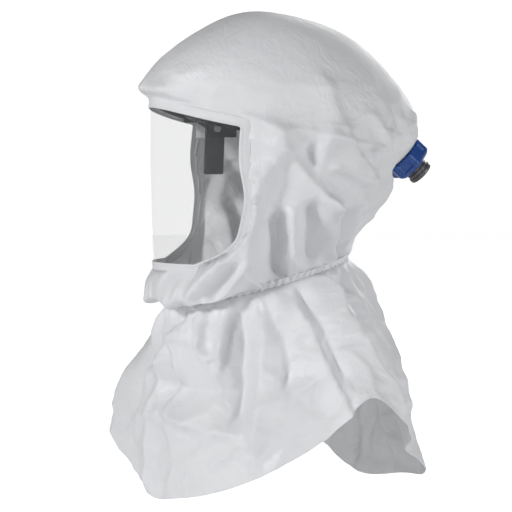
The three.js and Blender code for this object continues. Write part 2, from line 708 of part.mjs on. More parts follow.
function ratchetKnob() {
  const { r, y0, y1 } = KNOB;
  const outline = [];
  const lobes = 12;
  for (let i = 0; i < lobes * 6; i++) {
    const a = (2 * Math.PI * i) / (lobes * 6);
    const radius = r - 1.3 * (0.5 - 0.5 * Math.cos(lobes * a)) ** 3;
    outline.push([radius * Math.cos(a), NAPE_Z + radius * Math.sin(a)]);
  }
  return plateXZ(outline, y0, y1)
    .subtract(rod(vec(0, y1 - 2, NAPE_Z), vec(0, y1 + 1, NAPE_Z), 12, 36))
    .add(block(-10, 10, y1 - 3, y1 - 0.5, NAPE_Z - 2, NAPE_Z + 2))
    .subtract(block(-2.7, 2.7, y0 - 1, y0 + 6.4, NAPE_Z - 2.7, NAPE_Z + 2.7));
}

// Rack: side +1 runs above the pinion to +X, side -1 below it to -X.
function rack(side) {
  const pitchZ = PINION_R;
  const addendum = 0.55 * MODULE;
  const dedendum = 1.1 * MODULE;
  const slope = Math.tan(rad(20));
  const backlash = 0.24;
  const points = [];
  const first = -6;
  const last = 5;
  for (let k = first; k <= last; k++) {
    const centre = k * RACK_PITCH;
    const atPitch = RACK_PITCH / 4 - backlash / 2;
    points.push([centre - atPitch - slope * dedendum, pitchZ + dedendum]);
    points.push([centre - atPitch + slope * addendum, pitchZ - addendum]);
    points.push([centre + atPitch - slope * addendum, pitchZ - addendum]);
    points.push([centre + atPitch + slope * dedendum, pitchZ + dedendum]);
  }
  const left = points[0][0] - 1.5;
  const root = pitchZ + dedendum;
  const back = [[24, root], [RACK_END, 6.2], [RACK_END, 11], [left, 11], [left, root]];
  const outline = [...points, ...back].map(([x, z]) => [side * x, NAPE_Z + side * z]);
  return plateXZ(outline, RACK_Y - RACK_THICK / 2, RACK_Y + RACK_THICK / 2);
}

// Loop that holds the headband's end and guides the rack that slides behind it.
function bandKeeper(side) {
  const wall = 1.6;
  const y0 = BAND_REAR - BAND_THICK / 2 - GAP;
  const y1 = RACK_Y + RACK_THICK / 2 + GAP;
  const z0 = NAPE_Z - 12;
  const z1 = NAPE_Z + 12;
  const outer = block(40.3, 45.3, y0 - wall, y1 + wall, z0 - wall, z1 + wall);
  const solid = outer.subtract(block(39, 47, y0, y1, z0, z1));
  return side > 0 ? solid : solid.mirror([1, 0, 0]);
}

// Leaf spring whose end clicks on the shaft.
function detentSpring() {
  const { y1 } = HOUSING;
  return block(-20, 12, y1 - 2.6, y1 - 0.4, NAPE_Z + 5.4, NAPE_Z + 6).add(
    block(-20, -18.6, y1 - 2.6, y1 - 0.4, NAPE_Z + 5.4, NAPE_Z + 12),
  );
}

function napePad() {
  const surface = (p, q) => {
    const x = lerp(-33, 33, p);
    return vec(x, 96.4 - (x * x) / 900, NAPE_Z + lerp(-16, 14, q));
  };
  return sheetSolid(surface, 8, 2, 0, 5, { flip: false });
}

// ---------------------------------------------------------------- air path
const ductCurve = new THREE.CatmullRomCurve3(DUCT_LINE.map(([y, z]) => vec(0, y, z)), false, "centripetal");

// A point of a rounded-rectangle section round the duct, by turn in degrees: 0 at +X and 90 on the outside.
function sectionPoint(turn, halfWidth, halfThick) {
  const c = Math.cos(rad(turn));
  const s = Math.sin(rad(turn));
  const power = 2 / SQUARENESS;
  return [halfWidth * Math.sign(c) * Math.abs(c) ** power, halfThick * Math.sign(s) * Math.abs(s) ** power];
}

function ductWall(fromTurn, toTurn, start, end) {
  const surface = (p, q) => {
    const along = lerp(start, end, p);
    const tangent = ductCurve.getTangentAt(along);
    const out = vec(0, -tangent.z, tangent.y);
    const [x, n] = sectionPoint(lerp(fromTurn, toTurn, q), DUCT.halfWidth, DUCT.halfThick);
    return ductCurve.getPointAt(along).add(vec(x, 0, 0)).addScaledVector(out, n);
  };
  return sheetSolid(surface, 9, 8, 0, DUCT.wall, { flip: false });
}

// Each half of the duct's section is moulded in two lengths that meet over the crown.
const DUCT_LENGTHS = { front: [0, 0.4985], rear: [0.5005, 1] };

// Elbow from the duct's rear end to the round inlet.
function inletElbow() {
  const start = ductCurve.getPointAt(1).addScaledVector(ductCurve.getTangentAt(1), 0.6);
  const end = onInlet(-6.4);
  const bend = new THREE.CubicBezierCurve3(
    start,
    start.clone().addScaledVector(ductCurve.getTangentAt(1), 10),
    end.clone().addScaledVector(INLET_AXIS, -9),
    end,
  );
  const round = 16.6;
  const surface = (p, q) => {
    const tangent = bend.getTangent(q);
    const out = vec(0, -tangent.z, tangent.y).normalize();
    const blend = smoothstep(q, 0, 1);
    const [x0, n0] = sectionPoint(360 * p, DUCT.halfWidth, DUCT.halfThick);
    const a = rad(360 * p);
    const x = lerp(x0, round * Math.cos(a), blend);
    const n = lerp(n0, round * Math.sin(a), blend);
    return bend.getPoint(q).add(vec(x, 0, 0)).addScaledVector(out, n);
  };
  return sheetSolid(surface, 24, 5, -1.6, 0, { closed: true, flip: true });
}

// Flat fan that spreads the air behind the lens.
const NOZZLE = { rear: vec(0, -99.5, 89), front: vec(0, -126, 47), halfWidthFront: 52, halfThickFront: 5 };
function outletNozzle() {
  const rear = ductCurve.getPointAt(0).addScaledVector(ductCurve.getTangentAt(0), -0.6);
  const bend = new THREE.CubicBezierCurve3(
    rear,
    rear.clone().addScaledVector(ductCurve.getTangentAt(0), -16),
    NOZZLE.front.clone().add(vec(0, 3, 18)),
    NOZZLE.front,
  );
  const surface = (p, q) => {
    const tangent = bend.getTangent(q);
    const out = vec(0, tangent.z, -tangent.y).normalize();
    const blend = smoothstep(q, 0, 1);
    const half = lerp(DUCT.halfWidth, NOZZLE.halfWidthFront, blend);
    const [x, n] = sectionPoint(360 * p, half, lerp(DUCT.halfThick, NOZZLE.halfThickFront, blend));
    const sweep = 0.0045 * blend * x * x; // the mouth follows the brow's curve
    return bend.getPoint(q).add(vec(x, sweep, 0)).addScaledVector(out, n);
  };
  return sheetSolid(surface, 28, 5, -1.4, 0, { closed: true, flip: false });
}

// Flap under the nozzle's mouth that turns the air towards the face or the lens.
const FLAP = { y: -112, z: 39, halfX: 44, drop: 12 };
function deflector() {
  const { y, z, halfX, drop } = FLAP;
  const hub = rod(vec(-halfX, y, z), vec(halfX, y, z), 2.6, 16);
  return block(-halfX, halfX, y - 0.9, y + 0.9, z - drop, z)
    .add(hub)
    .subtract(rod(vec(-halfX - 1, y, z), vec(-halfX + 8, y, z), 1.4, 12))
    .subtract(rod(vec(halfX - 8, y, z), vec(halfX + 1, y, z), 1.4, 12));
}

// Ear on each side of the flap, with its hinge pin in one piece.
function deflectorEar(side) {
  const { y, z, halfX } = FLAP;
  const x0 = halfX + 0.4;
  const pin = rod(vec(halfX - 7, y, z), vec(x0 + 1, y, z), 1.1, 12);
  const solid = block(x0, x0 + 2, y - 4, y + 4, z - 4, z + 4.4).add(pin);
  return side > 0 ? solid : solid.mirror([1, 0, 0]);
}

// Saddle between the crown strap and the duct's tray, over a length of the strap from y0 to y1.
function ductSaddle(y0, y1) {
  const over = sheetSolid(strapLine, 28, 1, STRAP_THICK / 2 + GAP, 40, { flip: true });
  const half = DUCT.halfThick + DUCT.wall + GAP;
  const duct = (p, q) => ductCurve.getPointAt(p).add(vec(lerp(-40, 40, q), 0, 0));
  const room = sheetSolid(duct, 20, 1, -half, 60, { flip: true });
  return block(-8, 8, y0, y1, 60, 114).intersect(over).subtract(room);
}

function inletStub() {
  const { inner, outer, flange } = STUB;
  const profile = [[inner, -6], [flange, -6], [flange, -3.6], [outer, -3.6]];
  const threadPitch = 6;
  for (let s = 3; s + threadPitch <= 22; s += threadPitch) {
    profile.push([outer, s], [outer + 1, s + 1.2], [outer + 1, s + 2.4], [outer, s + 3.6]);
  }
  profile.push([outer, 22], [inner, 22]);
  return turnedOnInlet(profile.reverse(), 36);
}

// A flat ring on the inlet axis, between two radii and two distances along it.
function ringOnInlet(inner, outer, from, to) {
  return turnedOnInlet([[outer, from], [outer, to], [inner, to], [inner, from]], 40);
}

const flangeGasket = () => ringOnInlet(18.2, 26, -3.2, -1.9);
const slipRing = () => ringOnInlet(19.4, 27.5, 0, 1.6);

function lockingCollar() {
  const { acrossFlats, length, bore } = COLLAR;
  const corner = acrossFlats / Math.sqrt(3);
  const start = 2;
  const hex = new THREE.CylinderGeometry(corner, corner, length - start, 6);
  hex.translate(0, (length + start) / 2, 0);
  const body = solidOfGeometry(placeOnInlet(hex.rotateY(Math.PI / 6 + Math.PI / 3)));
  const limit = corner + 0.5;
  const edge = [
    [0, start], [limit - 2.4, start], [limit, start + 3], [limit, length - 9],
    [limit - 3, length - 3.5], [limit - 6, length], [0, length],
  ];
  const rounded = turnedOnInlet(edge.reverse(), 48);
  const mouth = 16.2; // radius round the socket, with a lip over the stub's end
  const steps = [
    [0, start - 1], [bore, start - 1], [bore, length - 2.6],
    [mouth, length - 2.6], [mouth, length + 1], [0, length + 1],
  ];
  const hole = turnedOnInlet(steps.reverse(), 48);
  return body.intersect(rounded).subtract(hole);
}

function swivelSocket() {
  const { inner, outer, lip, end } = SOCKET;
  const profile = [
    [inner, 4], [outer, 4], [outer, 9.4], [13.1, 9.4], [13.1, 12], [outer, 12], [outer, 25],
    [13.2, 26], [13.2, 29.5], [outer, 30.5], [outer, 34.5], [lip, 35.2], [lip, end - 0.8],
    [lip - 0.8, end], [inner + 0.8, end], [inner, end - 0.8],
  ];
  return turnedOnInlet(profile.reverse(), 36);
}

function socketRing() {
  const centre = onInlet(10.7);
  const radius = 13.95;
  const side = vec(1, 0, 0);
  const up = INLET_AXIS.clone().cross(side);
  const curve = (p) => {
    const a = 2 * Math.PI * p;
    const point = centre.clone().addScaledVector(side, radius * Math.cos(a));
    return point.addScaledVector(up, radius * Math.sin(a));
  };
  return torusSolid(curve, INLET_AXIS, centre, 0.8, 32, 6);
}

// Torus about an axis.
function torusSolid(curve, axis, centre, radius, countP, countQ) {
  const vertices = [];
  const triangles = [];
  for (let i = 0; i < countP; i++) {
    const point = curve(i / countP);
    const out = point.clone().sub(centre).normalize();
    for (let j = 0; j < countQ; j++) {
      const a = (2 * Math.PI * j) / countQ;
      const moved = point.clone().addScaledVector(out, radius * Math.cos(a));
      moved.addScaledVector(axis, radius * Math.sin(a));
      vertices.push(...moved.toArray());
    }
  }
  const at = (i, j) => (i % countP) * countQ + (j % countQ);
  for (let i = 0; i < countP; i++) {
    for (let j = 0; j < countQ; j++) {
      triangles.push(at(i, j), at(i + 1, j), at(i + 1, j + 1), at(i, j), at(i + 1, j + 1), at(i, j + 1));
    }
  }
  return solidOf(vertices, triangles);
}

// Clearance round the inlet in the fabric panels.
const inletHole = () => turnedOnInlet([[0, -26], [34, -26], [34, 40], [0, 40]].reverse(), 40);

// ---------------------------------------------------------------- the model
const FINISH = {
  fabric: { color: GREY_FABRIC, roughness: 0.62, metalness: 0 },
  binding: { color: 0xdcdee0, roughness: 0.6, metalness: 0 },
  clear: { color: 0xf4f8fa, roughness: 0.05, metalness: 0, transparent: true, opacity: 0.25 },
  black: { color: 0x1b1b1d, roughness: 0.5, metalness: 0 },
  charcoal: { color: 0x4a474a, roughness: 0.55, metalness: 0 },
  foam: { color: 0x2a2a2d, roughness: 0.95, metalness: 0 },
  blue: { color: 0x0b3f8f, roughness: 0.35, metalness: 0 },
  grey: { color: 0x4c4a4c, roughness: 0.45, metalness: 0 },
  rubber: { color: 0x151515, roughness: 0.85, metalness: 0 },
  steel: { color: 0x9a9da0, roughness: 0.35, metalness: 1 },
  white: { color: 0xd9dadb, roughness: 0.45, metalness: 0 },
};

const model = new THREE.Group();
function add(name, solid, finish) {
  const mesh = new THREE.Mesh(geometryOf(solid), new THREE.MeshStandardMaterial(FINISH[finish]));
  mesh.name = name;
  model.add(mesh);
}

const hole = inletHole();
add("crown_panel", crownPanel().subtract(hole), "fabric");
add("side_panel_left", sidePanel(1).subtract(hole), "fabric");
add("side_panel_right", sidePanel(-1).subtract(hole), "fabric");
add("chin_panel", chinPanel(), "fabric");
add("shroud_front", shroudPanel(0), "fabric");
add("shroud_back", shroudPanel(0.5), "fabric");
add("neck_elastic", neckElastic(), "white");
add("lens", lens(), "clear");
add("lens_binding", lensBinding(), "binding");
add("inlet_patch", inletPatch(), "fabric");
add("hood_tab_left", hoodTab(1), "white");
add("hood_tab_right", hoodTab(-1), "white");

add("headband", headband(), "black");
add("sweatband", sweatband(), "foam");
add("crown_strap_long", crownStrapLong(), "black");
add("crown_strap_cross", crownStrapCross(), "black");
add("crown_pad", crownPad(), "foam");
for (const [name, { centre, direction, grip }] of Object.entries(STUDS)) {
  add(`strap_stud_${name}`, stud(centre, direction, grip), "charcoal");
}
for (const [name, side] of [["left", 1], ["right", -1]]) {
  add(`temple_block_${name}`, templeBlock(side), "black");
  add(`hanger_${name}`, hanger(side), "charcoal");
  add(`hanger_stud_${name}`, hangerStud(side), "steel");
  add(`support_arm_${name}`, supportArm(side), "black");
  add(`rack_${name}`, rack(side), "charcoal");
  add(`housing_screw_${name}`, housingScrew(side), "steel");
  add(`deflector_ear_${name}`, deflectorEar(side), "black");
  add(`band_keeper_${name}`, bandKeeper(side), "black");
}
add("lens_support", lensSupport(), "black");
add("housing_base", housingBase(), "black");
add("housing_cover", housingCover(), "black");
add("pinion_shaft", pinionShaft(), "white");
add("ratchet_knob", ratchetKnob(), "charcoal");
add("detent_spring", detentSpring(), "steel");
add("nape_pad", napePad(), "foam");

add("duct_saddle_front", ductSaddle(-46, -34), "black");
add("duct_saddle_rear", ductSaddle(40, 52), "black");
for (const [name, [start, end]] of Object.entries(DUCT_LENGTHS)) {
  add(`duct_tray_${name}`, ductWall(183, 357, start, end), "charcoal");
  add(`duct_cover_${name}`, ductWall(3, 177, start, end), "charcoal");
}
add("outlet_nozzle", outletNozzle(), "charcoal");
add("deflector", deflector(), "charcoal");
add("inlet_elbow", inletElbow(), "charcoal");
add("inlet_stub", inletStub(), "charcoal");
add("flange_gasket", flangeGasket(), "rubber");
add("slip_ring", slipRing(), "rubber");
add("locking_collar", lockingCollar(), "blue");
add("swivel_socket", swivelSocket(), "grey");
add("socket_ring", socketRing(), "rubber");

export default model;
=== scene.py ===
"""Hood of a powered air respirator: coated fabric, clear lens, harness and air inlet, on the CAD frame."""

import json
import math

import bmesh
import bpy
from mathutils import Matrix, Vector, noise


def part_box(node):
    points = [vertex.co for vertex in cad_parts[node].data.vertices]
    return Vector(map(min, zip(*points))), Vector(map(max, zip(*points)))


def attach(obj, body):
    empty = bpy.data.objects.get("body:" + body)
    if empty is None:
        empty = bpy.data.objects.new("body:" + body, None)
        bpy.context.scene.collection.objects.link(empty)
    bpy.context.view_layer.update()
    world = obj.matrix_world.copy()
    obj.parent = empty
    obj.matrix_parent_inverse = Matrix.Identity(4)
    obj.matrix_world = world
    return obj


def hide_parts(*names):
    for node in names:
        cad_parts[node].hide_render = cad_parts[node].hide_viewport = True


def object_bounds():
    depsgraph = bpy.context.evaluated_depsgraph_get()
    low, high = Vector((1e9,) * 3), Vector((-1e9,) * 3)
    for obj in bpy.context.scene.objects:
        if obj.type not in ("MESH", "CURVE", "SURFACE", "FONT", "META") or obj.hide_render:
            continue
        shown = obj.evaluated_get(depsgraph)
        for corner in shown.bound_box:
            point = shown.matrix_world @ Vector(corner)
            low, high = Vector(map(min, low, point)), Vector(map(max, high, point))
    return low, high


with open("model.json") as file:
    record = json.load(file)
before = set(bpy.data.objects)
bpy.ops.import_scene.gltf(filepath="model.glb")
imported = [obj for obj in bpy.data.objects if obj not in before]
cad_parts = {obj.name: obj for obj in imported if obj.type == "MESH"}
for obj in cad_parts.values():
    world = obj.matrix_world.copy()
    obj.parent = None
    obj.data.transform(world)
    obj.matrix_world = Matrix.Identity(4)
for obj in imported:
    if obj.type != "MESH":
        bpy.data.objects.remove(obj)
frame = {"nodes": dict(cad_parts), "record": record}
CAD_BOX = [list(corner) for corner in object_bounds()]
MM = 0.001

# ---------------------------------------------------------------- driving dimensions, in millimetres
# Sections of the hood from the apex to the neck: front y and z, back y and z, then half the width.
HOOD_SECTIONS = [
    (-24, 140, -6, 140, 8),
    (-52, 133, 30, 134, 45),
    (-86, 116, 70, 123, 74),
    (-119, 94, 105, 106, 94),
    (-141, 73, 137, 80, 108),
    (-150, 58, 159, 55, 115),
    (-151, 46, 174, 36, 118),
    (-146, 36, 183, 18, 119),
    (-146, 24, 188, 3, 120),
    (-146, 0, 185, -14, 121),
    (-146, -42, 153, -50, 122),
    (-145, -80, 146, -80, 120),
    (-144, -118, 126, -108, 113),
    (-142, -160, 103, -134, 102),
    (-139, -188, 96, -147, 93),
    (-122, -213, 98, -158, 86),
]
NECK = len(HOOD_SECTIONS) - 1
# Hem of the shroud, front first, round by the wearer's left.
HEM = [
    (0, -143, -447), (60, -138, -441), (125, -108, -427), (172, -60, -402),
    (196, 10, -358), (202, 62, -312), (172, 112, -345), (95, 170, -415),
    (0, 176, -431), (-95, 154, -442), (-160, 127, -412), (-198, 85, -352),
    (-206, 20, -322), (-206, -50, -340), (-180, -140, -378), (-95, -138, -430),
]
LENS_TOP_FRONT = 24
LENS_TOP_DROP = 22
LENS_BOTTOM = -162
LENS_TOP_ANGLE = 59
LENS_MID_ANGLE = 65
LENS_BOTTOM_ANGLE = 41
BINDING = 11
ARC = 2.15  # mm of hood per degree beside the lens
BROW_SPAN = 66  # degrees either side of the front where the crown seam follows the lens
SEAM_GAP = 1.4  # between the binding and the crown seam
SEAM_BACK = -11  # height of the crown seam at the back
FABRIC = 0.4  # thickness of the coated fabric
SETTLE_FRAMES = 5  # of cloth simulation
HEAD_AXIS_Y = 10  # of the upright line that the hood's folds stand out from
NECK_AXIS_Y = -12  # and of the shroud's

INLET_TILT = math.radians(42)
INLET_POINT = Vector((0, 170, -32)) * MM
INLET_AXIS = Vector((0, math.cos(INLET_TILT), -math.sin(INLET_TILT)))
INLET_HOLE = 0.019  # radii about the inlet, in metres: the hole in the hood,
INLET_FLAT = 0.030  # where the hood lies flat,
INLET_STIFF = 0.034  # where the patch holds it still
INLET_HELD = 0.042  # and where it runs free again


# ---------------------------------------------------------------- small maths
def lerp(a, b, t):
    return a + (b - a) * t


def clamp(x, low=0.0, high=1.0):
    return max(low, min(high, x))


def smooth(x, low, high):
    t = clamp((x - low) / (high - low))
    return t * t * (3 - 2 * t)


def outward(point, axis_y):
    """Level direction away from an upright line on the mid-plane."""
    return Vector((point.x, point.y - axis_y, 0)).normalized()


# ---------------------------------------------------------------- the hood's surface
def section_at(t):
    """Section between those of the table, on a smooth curve through them."""
    i = min(int(t), NECK - 1)
    f = t - i
    rows = [HOOD_SECTIONS[int(clamp(i + k, 0, NECK))] for k in (-1, 0, 1, 2)]
    out = []
    for a, b, c, d in zip(*rows):
        out.append(b + 0.5 * f * (c - a + f * (2 * a - 5 * b + 4 * c - d + f * (3 * (b - c) + d - a))))
    return out


def hood_point(angle, t):
    """Point in mm at an angle from the front, positive to +X, on section t."""
    front_y, front_z, back_y, back_z, half = section_at(clamp(t, 0, NECK))
    c = math.cos(math.radians(angle))
    back = (1 - c) / 2
    x = half * math.sin(math.radians(angle))
    return Vector((x, lerp(front_y, back_y, back), lerp(front_z, back_z, back)))


def section_through(angle, z):
    """Section that has a height at an angle, by halving."""
    low, high = 0.0, float(NECK)
    for _ in range(26):
        mid = (low + high) / 2
        if hood_point(angle, mid).z > z:
            low = mid
        else:
            high = mid
    return low


def hood_at(angle, z):
    return hood_point(angle, section_through(angle, z))


def lens_top(angle):
    ratio = math.sin(math.radians(angle)) / math.sin(math.radians(LENS_TOP_ANGLE))
    return LENS_TOP_FRONT - LENS_TOP_DROP * ratio**2


def lens_side(down):
    widened = lerp(LENS_TOP_ANGLE, LENS_MID_ANGLE, smooth(down, 0, 0.6))
    return widened - (LENS_MID_ANGLE - LENS_BOTTOM_ANGLE) * max(0, (down - 0.72) / 0.28) ** 3


def lens_map(across, down):
    angle = across * lens_side(down)
    return angle, lerp(lens_top(angle), LENS_BOTTOM, down)


def lens_loop(loop, out):
    """Angle and height on the lens outline at loop (0 to 1, from the brow by +X), moved out by a distance."""

    def along(s):
        side = (s % 1) * 8
        if side < 1:
            return lens_map(side, 0)
        if side < 3.2:
            return lens_map(1, (side - 1) / 2.2)
        if side < 4.8:
            return lens_map((4 - side) / 0.8, 1)
        if side < 7:
            return lens_map(-1, (7 - side) / 2.2)
        return lens_map(side - 8, 0)

    angle, z = along(loop)
    a0, z0 = along(loop - 0.012)
    a1, z1 = along(loop + 0.012)
    du = (a1 - a0) * ARC
    dz = z1 - z0
    size = math.hypot(du, dz)
    return angle + (-dz / size * out) / ARC, z + du / size * out


def seam_z(angle):
    a = abs(angle)
    over_lens = lens_top(min(a, BROW_SPAN)) + BINDING + SEAM_GAP
    return over_lens if a < BROW_SPAN else lerp(over_lens, SEAM_BACK, smooth(a, BROW_SPAN, 180))


def inside_lens(angle, z, margin):
    """True where a point of the hood lies inside the lens outline by more than a margin."""
    top = lens_top(min(abs(angle), BROW_SPAN)) - margin
    bottom = LENS_BOTTOM + margin
    if not bottom < z < top:
        return False
    down = clamp((lens_top(angle) - z) / (lens_top(angle) - LENS_BOTTOM))
    return abs(angle) < lens_side(down) - margin / ARC


# ---------------------------------------------------------------- mesh helpers
def new_mesh(name, points, faces, scale=MM):
    mesh = bpy.data.meshes.new(name)
    mesh.from_pydata([p * scale for p in points], [], faces)
    mesh.update()
    obj = bpy.data.objects.new(name, mesh)
    bpy.context.scene.collection.objects.link(obj)
    return obj


def grid_faces(columns, rows, closed):
    """Quads of a grid whose vertices run row by row, closed round the columns or not."""
    faces = []
    last = columns if closed else columns - 1
    for j in range(rows - 1):
        for i in range(last):
            a = j * columns + i
            b = j * columns + (i + 1) % columns
            faces.append((a, b, b + columns, a + columns))
    return faces


def shade(obj, angle=None):
    for face in obj.data.polygons:
        face.use_smooth = True
    if angle is not None:
        obj.data.set_sharp_from_angle(angle=math.radians(angle))


def thicken(obj, thickness, offset=-1.0):
    mod = obj.modifiers.new("thickness", "SOLIDIFY")
    mod.thickness = thickness * MM
    mod.offset = offset
    return mod


def finish_mesh(obj):
    """Applies every modifier of a piece."""
    depsgraph = bpy.context.evaluated_depsgraph_get()
    mesh = bpy.data.meshes.new_from_object(obj.evaluated_get(depsgraph))
    old = obj.data
    obj.modifiers.clear()
    obj.data = mesh
    bpy.data.meshes.remove(old)


def run_cloth(obj, mod, frames):
    """Runs a cloth modifier, takes it off again and returns where the vertices went."""
    scene = bpy.context.scene
    mod.collision_settings.use_collision = False
    mod.point_cache.frame_start = 1
    mod.point_cache.frame_end = frames
    for step in range(1, frames + 1):
        scene.frame_set(step)
    evaluated = obj.evaluated_get(bpy.context.evaluated_depsgraph_get())
    moved = evaluated.to_mesh()
    points = [v.co.copy() for v in moved.vertices]
    evaluated.to_mesh_clear()
    obj.modifiers.remove(mod)
    return points


def settle(obj, rest, weights):
    """Cloth simulation with spring lengths from the rest points and a goal weight per vertex."""
    obj.shape_key_add(name="Basis")
    key = obj.shape_key_add(name="rest")
    for i, point in enumerate(rest):
        key.data[i].co = point * MM
    group = obj.vertex_groups.new(name="held")
    for i, weight in enumerate(weights):
        if weight > 0:
            group.add([i], weight, "REPLACE")
    mod = obj.modifiers.new("cloth", "CLOTH")
    s = mod.settings
    s.quality = 5
    s.mass = 0.1
    s.tension_stiffness = 12
    s.compression_stiffness = 12
    s.shear_stiffness = 4
    s.bending_stiffness = 0.6
    s.tension_damping = 3
    s.compression_damping = 3
    s.shear_damping = 2
    s.bending_damping = 0.5
    s.air_damping = 1
    s.vertex_group_mass = "held"
    s.pin_stiffness = 1.0
    s.rest_shape_key = key
    s.effector_weights.gravity = 0
    points = run_cloth(obj, mod, SETTLE_FRAMES)
    obj.shape_key_clear()
    for v, point in zip(obj.data.vertices, points):
        v.co = point
    bpy.context.scene.frame_set(1)


def relax(obj):
    """Evens out a sheet, then rounds it with one subdivision."""
    mod = obj.modifiers.new("relax", "SMOOTH")
    mod.factor = 0.35
    mod.iterations = 1
    rounding = obj.modifiers.new("rounding", "SUBSURF")
    rounding.levels = 1
    rounding.render_levels = 1


# ---------------------------------------------------------------- materials
def material(name, base, roughness, metallic=0.0, specular=0.5):
    mat = bpy.data.materials.new(name)
    mat.use_nodes = True
    nodes = mat.node_tree.nodes
    shader = nodes["Principled BSDF"]
    shader.inputs["Base Color"].default_value = (*base, 1)
    shader.inputs["Roughness"].default_value = roughness
    shader.inputs["Metallic"].default_value = metallic
    shader.inputs["Specular IOR Level"].default_value = specular
    return mat, nodes, mat.node_tree.links, shader


def noise_node(nodes, links, coords, scale, detail, roughness, distortion=0.0):
    made = nodes.new("ShaderNodeTexNoise")
    made.inputs["Scale"].default_value = scale
    made.inputs["Detail"].default_value = detail
    made.inputs["Roughness"].default_value = roughness
    made.inputs["Distortion"].default_value = distortion
    links.new(coords, made.inputs["Vector"])
    return made.outputs["Fac"]


def object_coords(nodes):
    return nodes.new("ShaderNodeTexCoord").outputs["Object"]


def ramp(nodes, links, value, stops):
    made = nodes.new("ShaderNodeValToRGB")
    elements = made.color_ramp.elements
    while len(elements) < len(stops):
        elements.new(0.5)
    for element, (position, colour) in zip(elements, stops):
        element.position = position
        element.color = (*colour, 1)
    links.new(value, made.inputs["Fac"])
    return made.outputs["Color"]


def map_range(nodes, links, value, low, high, to_low, to_high):
    made = nodes.new("ShaderNodeMapRange")
    links.new(value, made.inputs["Value"])
    made.inputs["From Min"].default_value = low
    made.inputs["From Max"].default_value = high
    made.inputs["To Min"].default_value = to_low
    made.inputs["To Max"].default_value = to_high
    return made.outputs["Result"]


def maths(nodes, links, operation, a, b):
    made = nodes.new("ShaderNodeMath")
    made.operation = operation
    for socket, value in zip(made.inputs, (a, b)):
        if isinstance(value, (int, float)):
            socket.default_value = value
        else:
            links.new(value, socket)
    return made.outputs["Value"]


def bump(nodes, links, shader, height, strength, distance, before=None):
    made = nodes.new("ShaderNodeBump")
    made.inputs["Strength"].default_value = strength
    made.inputs["Distance"].default_value = distance
    links.new(height, made.inputs["Height"])
    if before is not None:
        links.new(before, made.inputs["Normal"])
    links.new(made.outputs["Normal"], shader.inputs["Normal"])
    return made.outputs["Normal"]


def fabric_material(name, light, dark, crinkle=1.0):
    """Coated nonwoven: embossed dots, fine crinkles and soft blotches, with a slight sheen."""
    mat, nodes, links, shader = material(name, light, 0.5, specular=0.35)
    shader.inputs["Sheen Weight"].default_value = 0.12
    shader.inputs["Sheen Roughness"].default_value = 0.5
    shader.inputs["Subsurface Weight"].default_value = 0.25
    shader.inputs["Subsurface Radius"].default_value = (1.0, 1.0, 1.0)
    shader.inputs["Subsurface Scale"].default_value = 0.01
    coords = object_coords(nodes)
    blotch = noise_node(nodes, links, coords, 14, 4, 0.6)
    colour = ramp(nodes, links, blotch, [(0.3, dark), (0.7, light)])
    links.new(colour, shader.inputs["Base Color"])
    links.new(map_range(nodes, links, blotch, 0.3, 0.7, 0.38, 0.54), shader.inputs["Roughness"])
    dots = nodes.new("ShaderNodeTexVoronoi")
    dots.inputs["Scale"].default_value = 620
    links.new(coords, dots.inputs["Vector"])
    embossed = bump(nodes, links, shader, dots.outputs["Distance"], 0.12, 0.0003)
    fine = noise_node(nodes, links, coords, 150, 3, 0.6, 0.4)
    crinkled = bump(nodes, links, shader, fine, 0.2 * crinkle, 0.0012, embossed)
    ridged = noise_node(nodes, links, coords, 38, 3, 0.5, 1.2)
    folded = maths(nodes, links, "ABSOLUTE", maths(nodes, links, "SUBTRACT", ridged, 0.5), 0)
    bump(nodes, links, shader, folded, 0.35 * crinkle, 0.006, crinkled)
    return mat


def plastic_material(name, light, dark, roughness, grain, specular=0.5, scuff=0.12):
    """Moulded plastic: fine spark-eroded grain, and worn roughness in patches."""
    mat, nodes, links, shader = material(name, light, roughness, specular=specular)
    coords = object_coords(nodes)
    patches = noise_node(nodes, links, coords, 45, 5, 0.65)
    links.new(ramp(nodes, links, patches, [(0.35, dark), (0.68, light)]), shader.inputs["Base Color"])
    worn = map_range(nodes, links, patches, 0.3, 0.75, roughness - scuff, roughness + scuff)
    links.new(worn, shader.inputs["Roughness"])
    grained = noise_node(nodes, links, coords, 2600, 2, 0.5)
    bump(nodes, links, shader, grained, grain, 0.0002)
    return mat


def webbing_material(name, light, dark, pitch):
    """Woven strap: crossing ribs along two directions."""
    mat, nodes, links, shader = material(name, light, 0.75, specular=0.3)
    shader.inputs["Sheen Weight"].default_value = 0.3
    coords = object_coords(nodes)
    bands = []
    for direction in ("X", "Z"):
        wave = nodes.new("ShaderNodeTexWave")
        wave.bands_direction = direction
        wave.inputs["Scale"].default_value = 1 / (pitch * MM) / 6.28
        wave.inputs["Distortion"].default_value = 0.6
        links.new(coords, wave.inputs["Vector"])
        bands.append(wave.outputs["Fac"])
    weave = maths(nodes, links, "MULTIPLY", *bands)
    fuzz = noise_node(nodes, links, coords, 900, 3, 0.6)
    mixed = maths(nodes, links, "ADD", weave, maths(nodes, links, "MULTIPLY", fuzz, 0.5))
    links.new(ramp(nodes, links, mixed, [(0.1, dark), (0.9, light)]), shader.inputs["Base Color"])
    bump(nodes, links, shader, mixed, 0.5, 0.0006)
    return mat


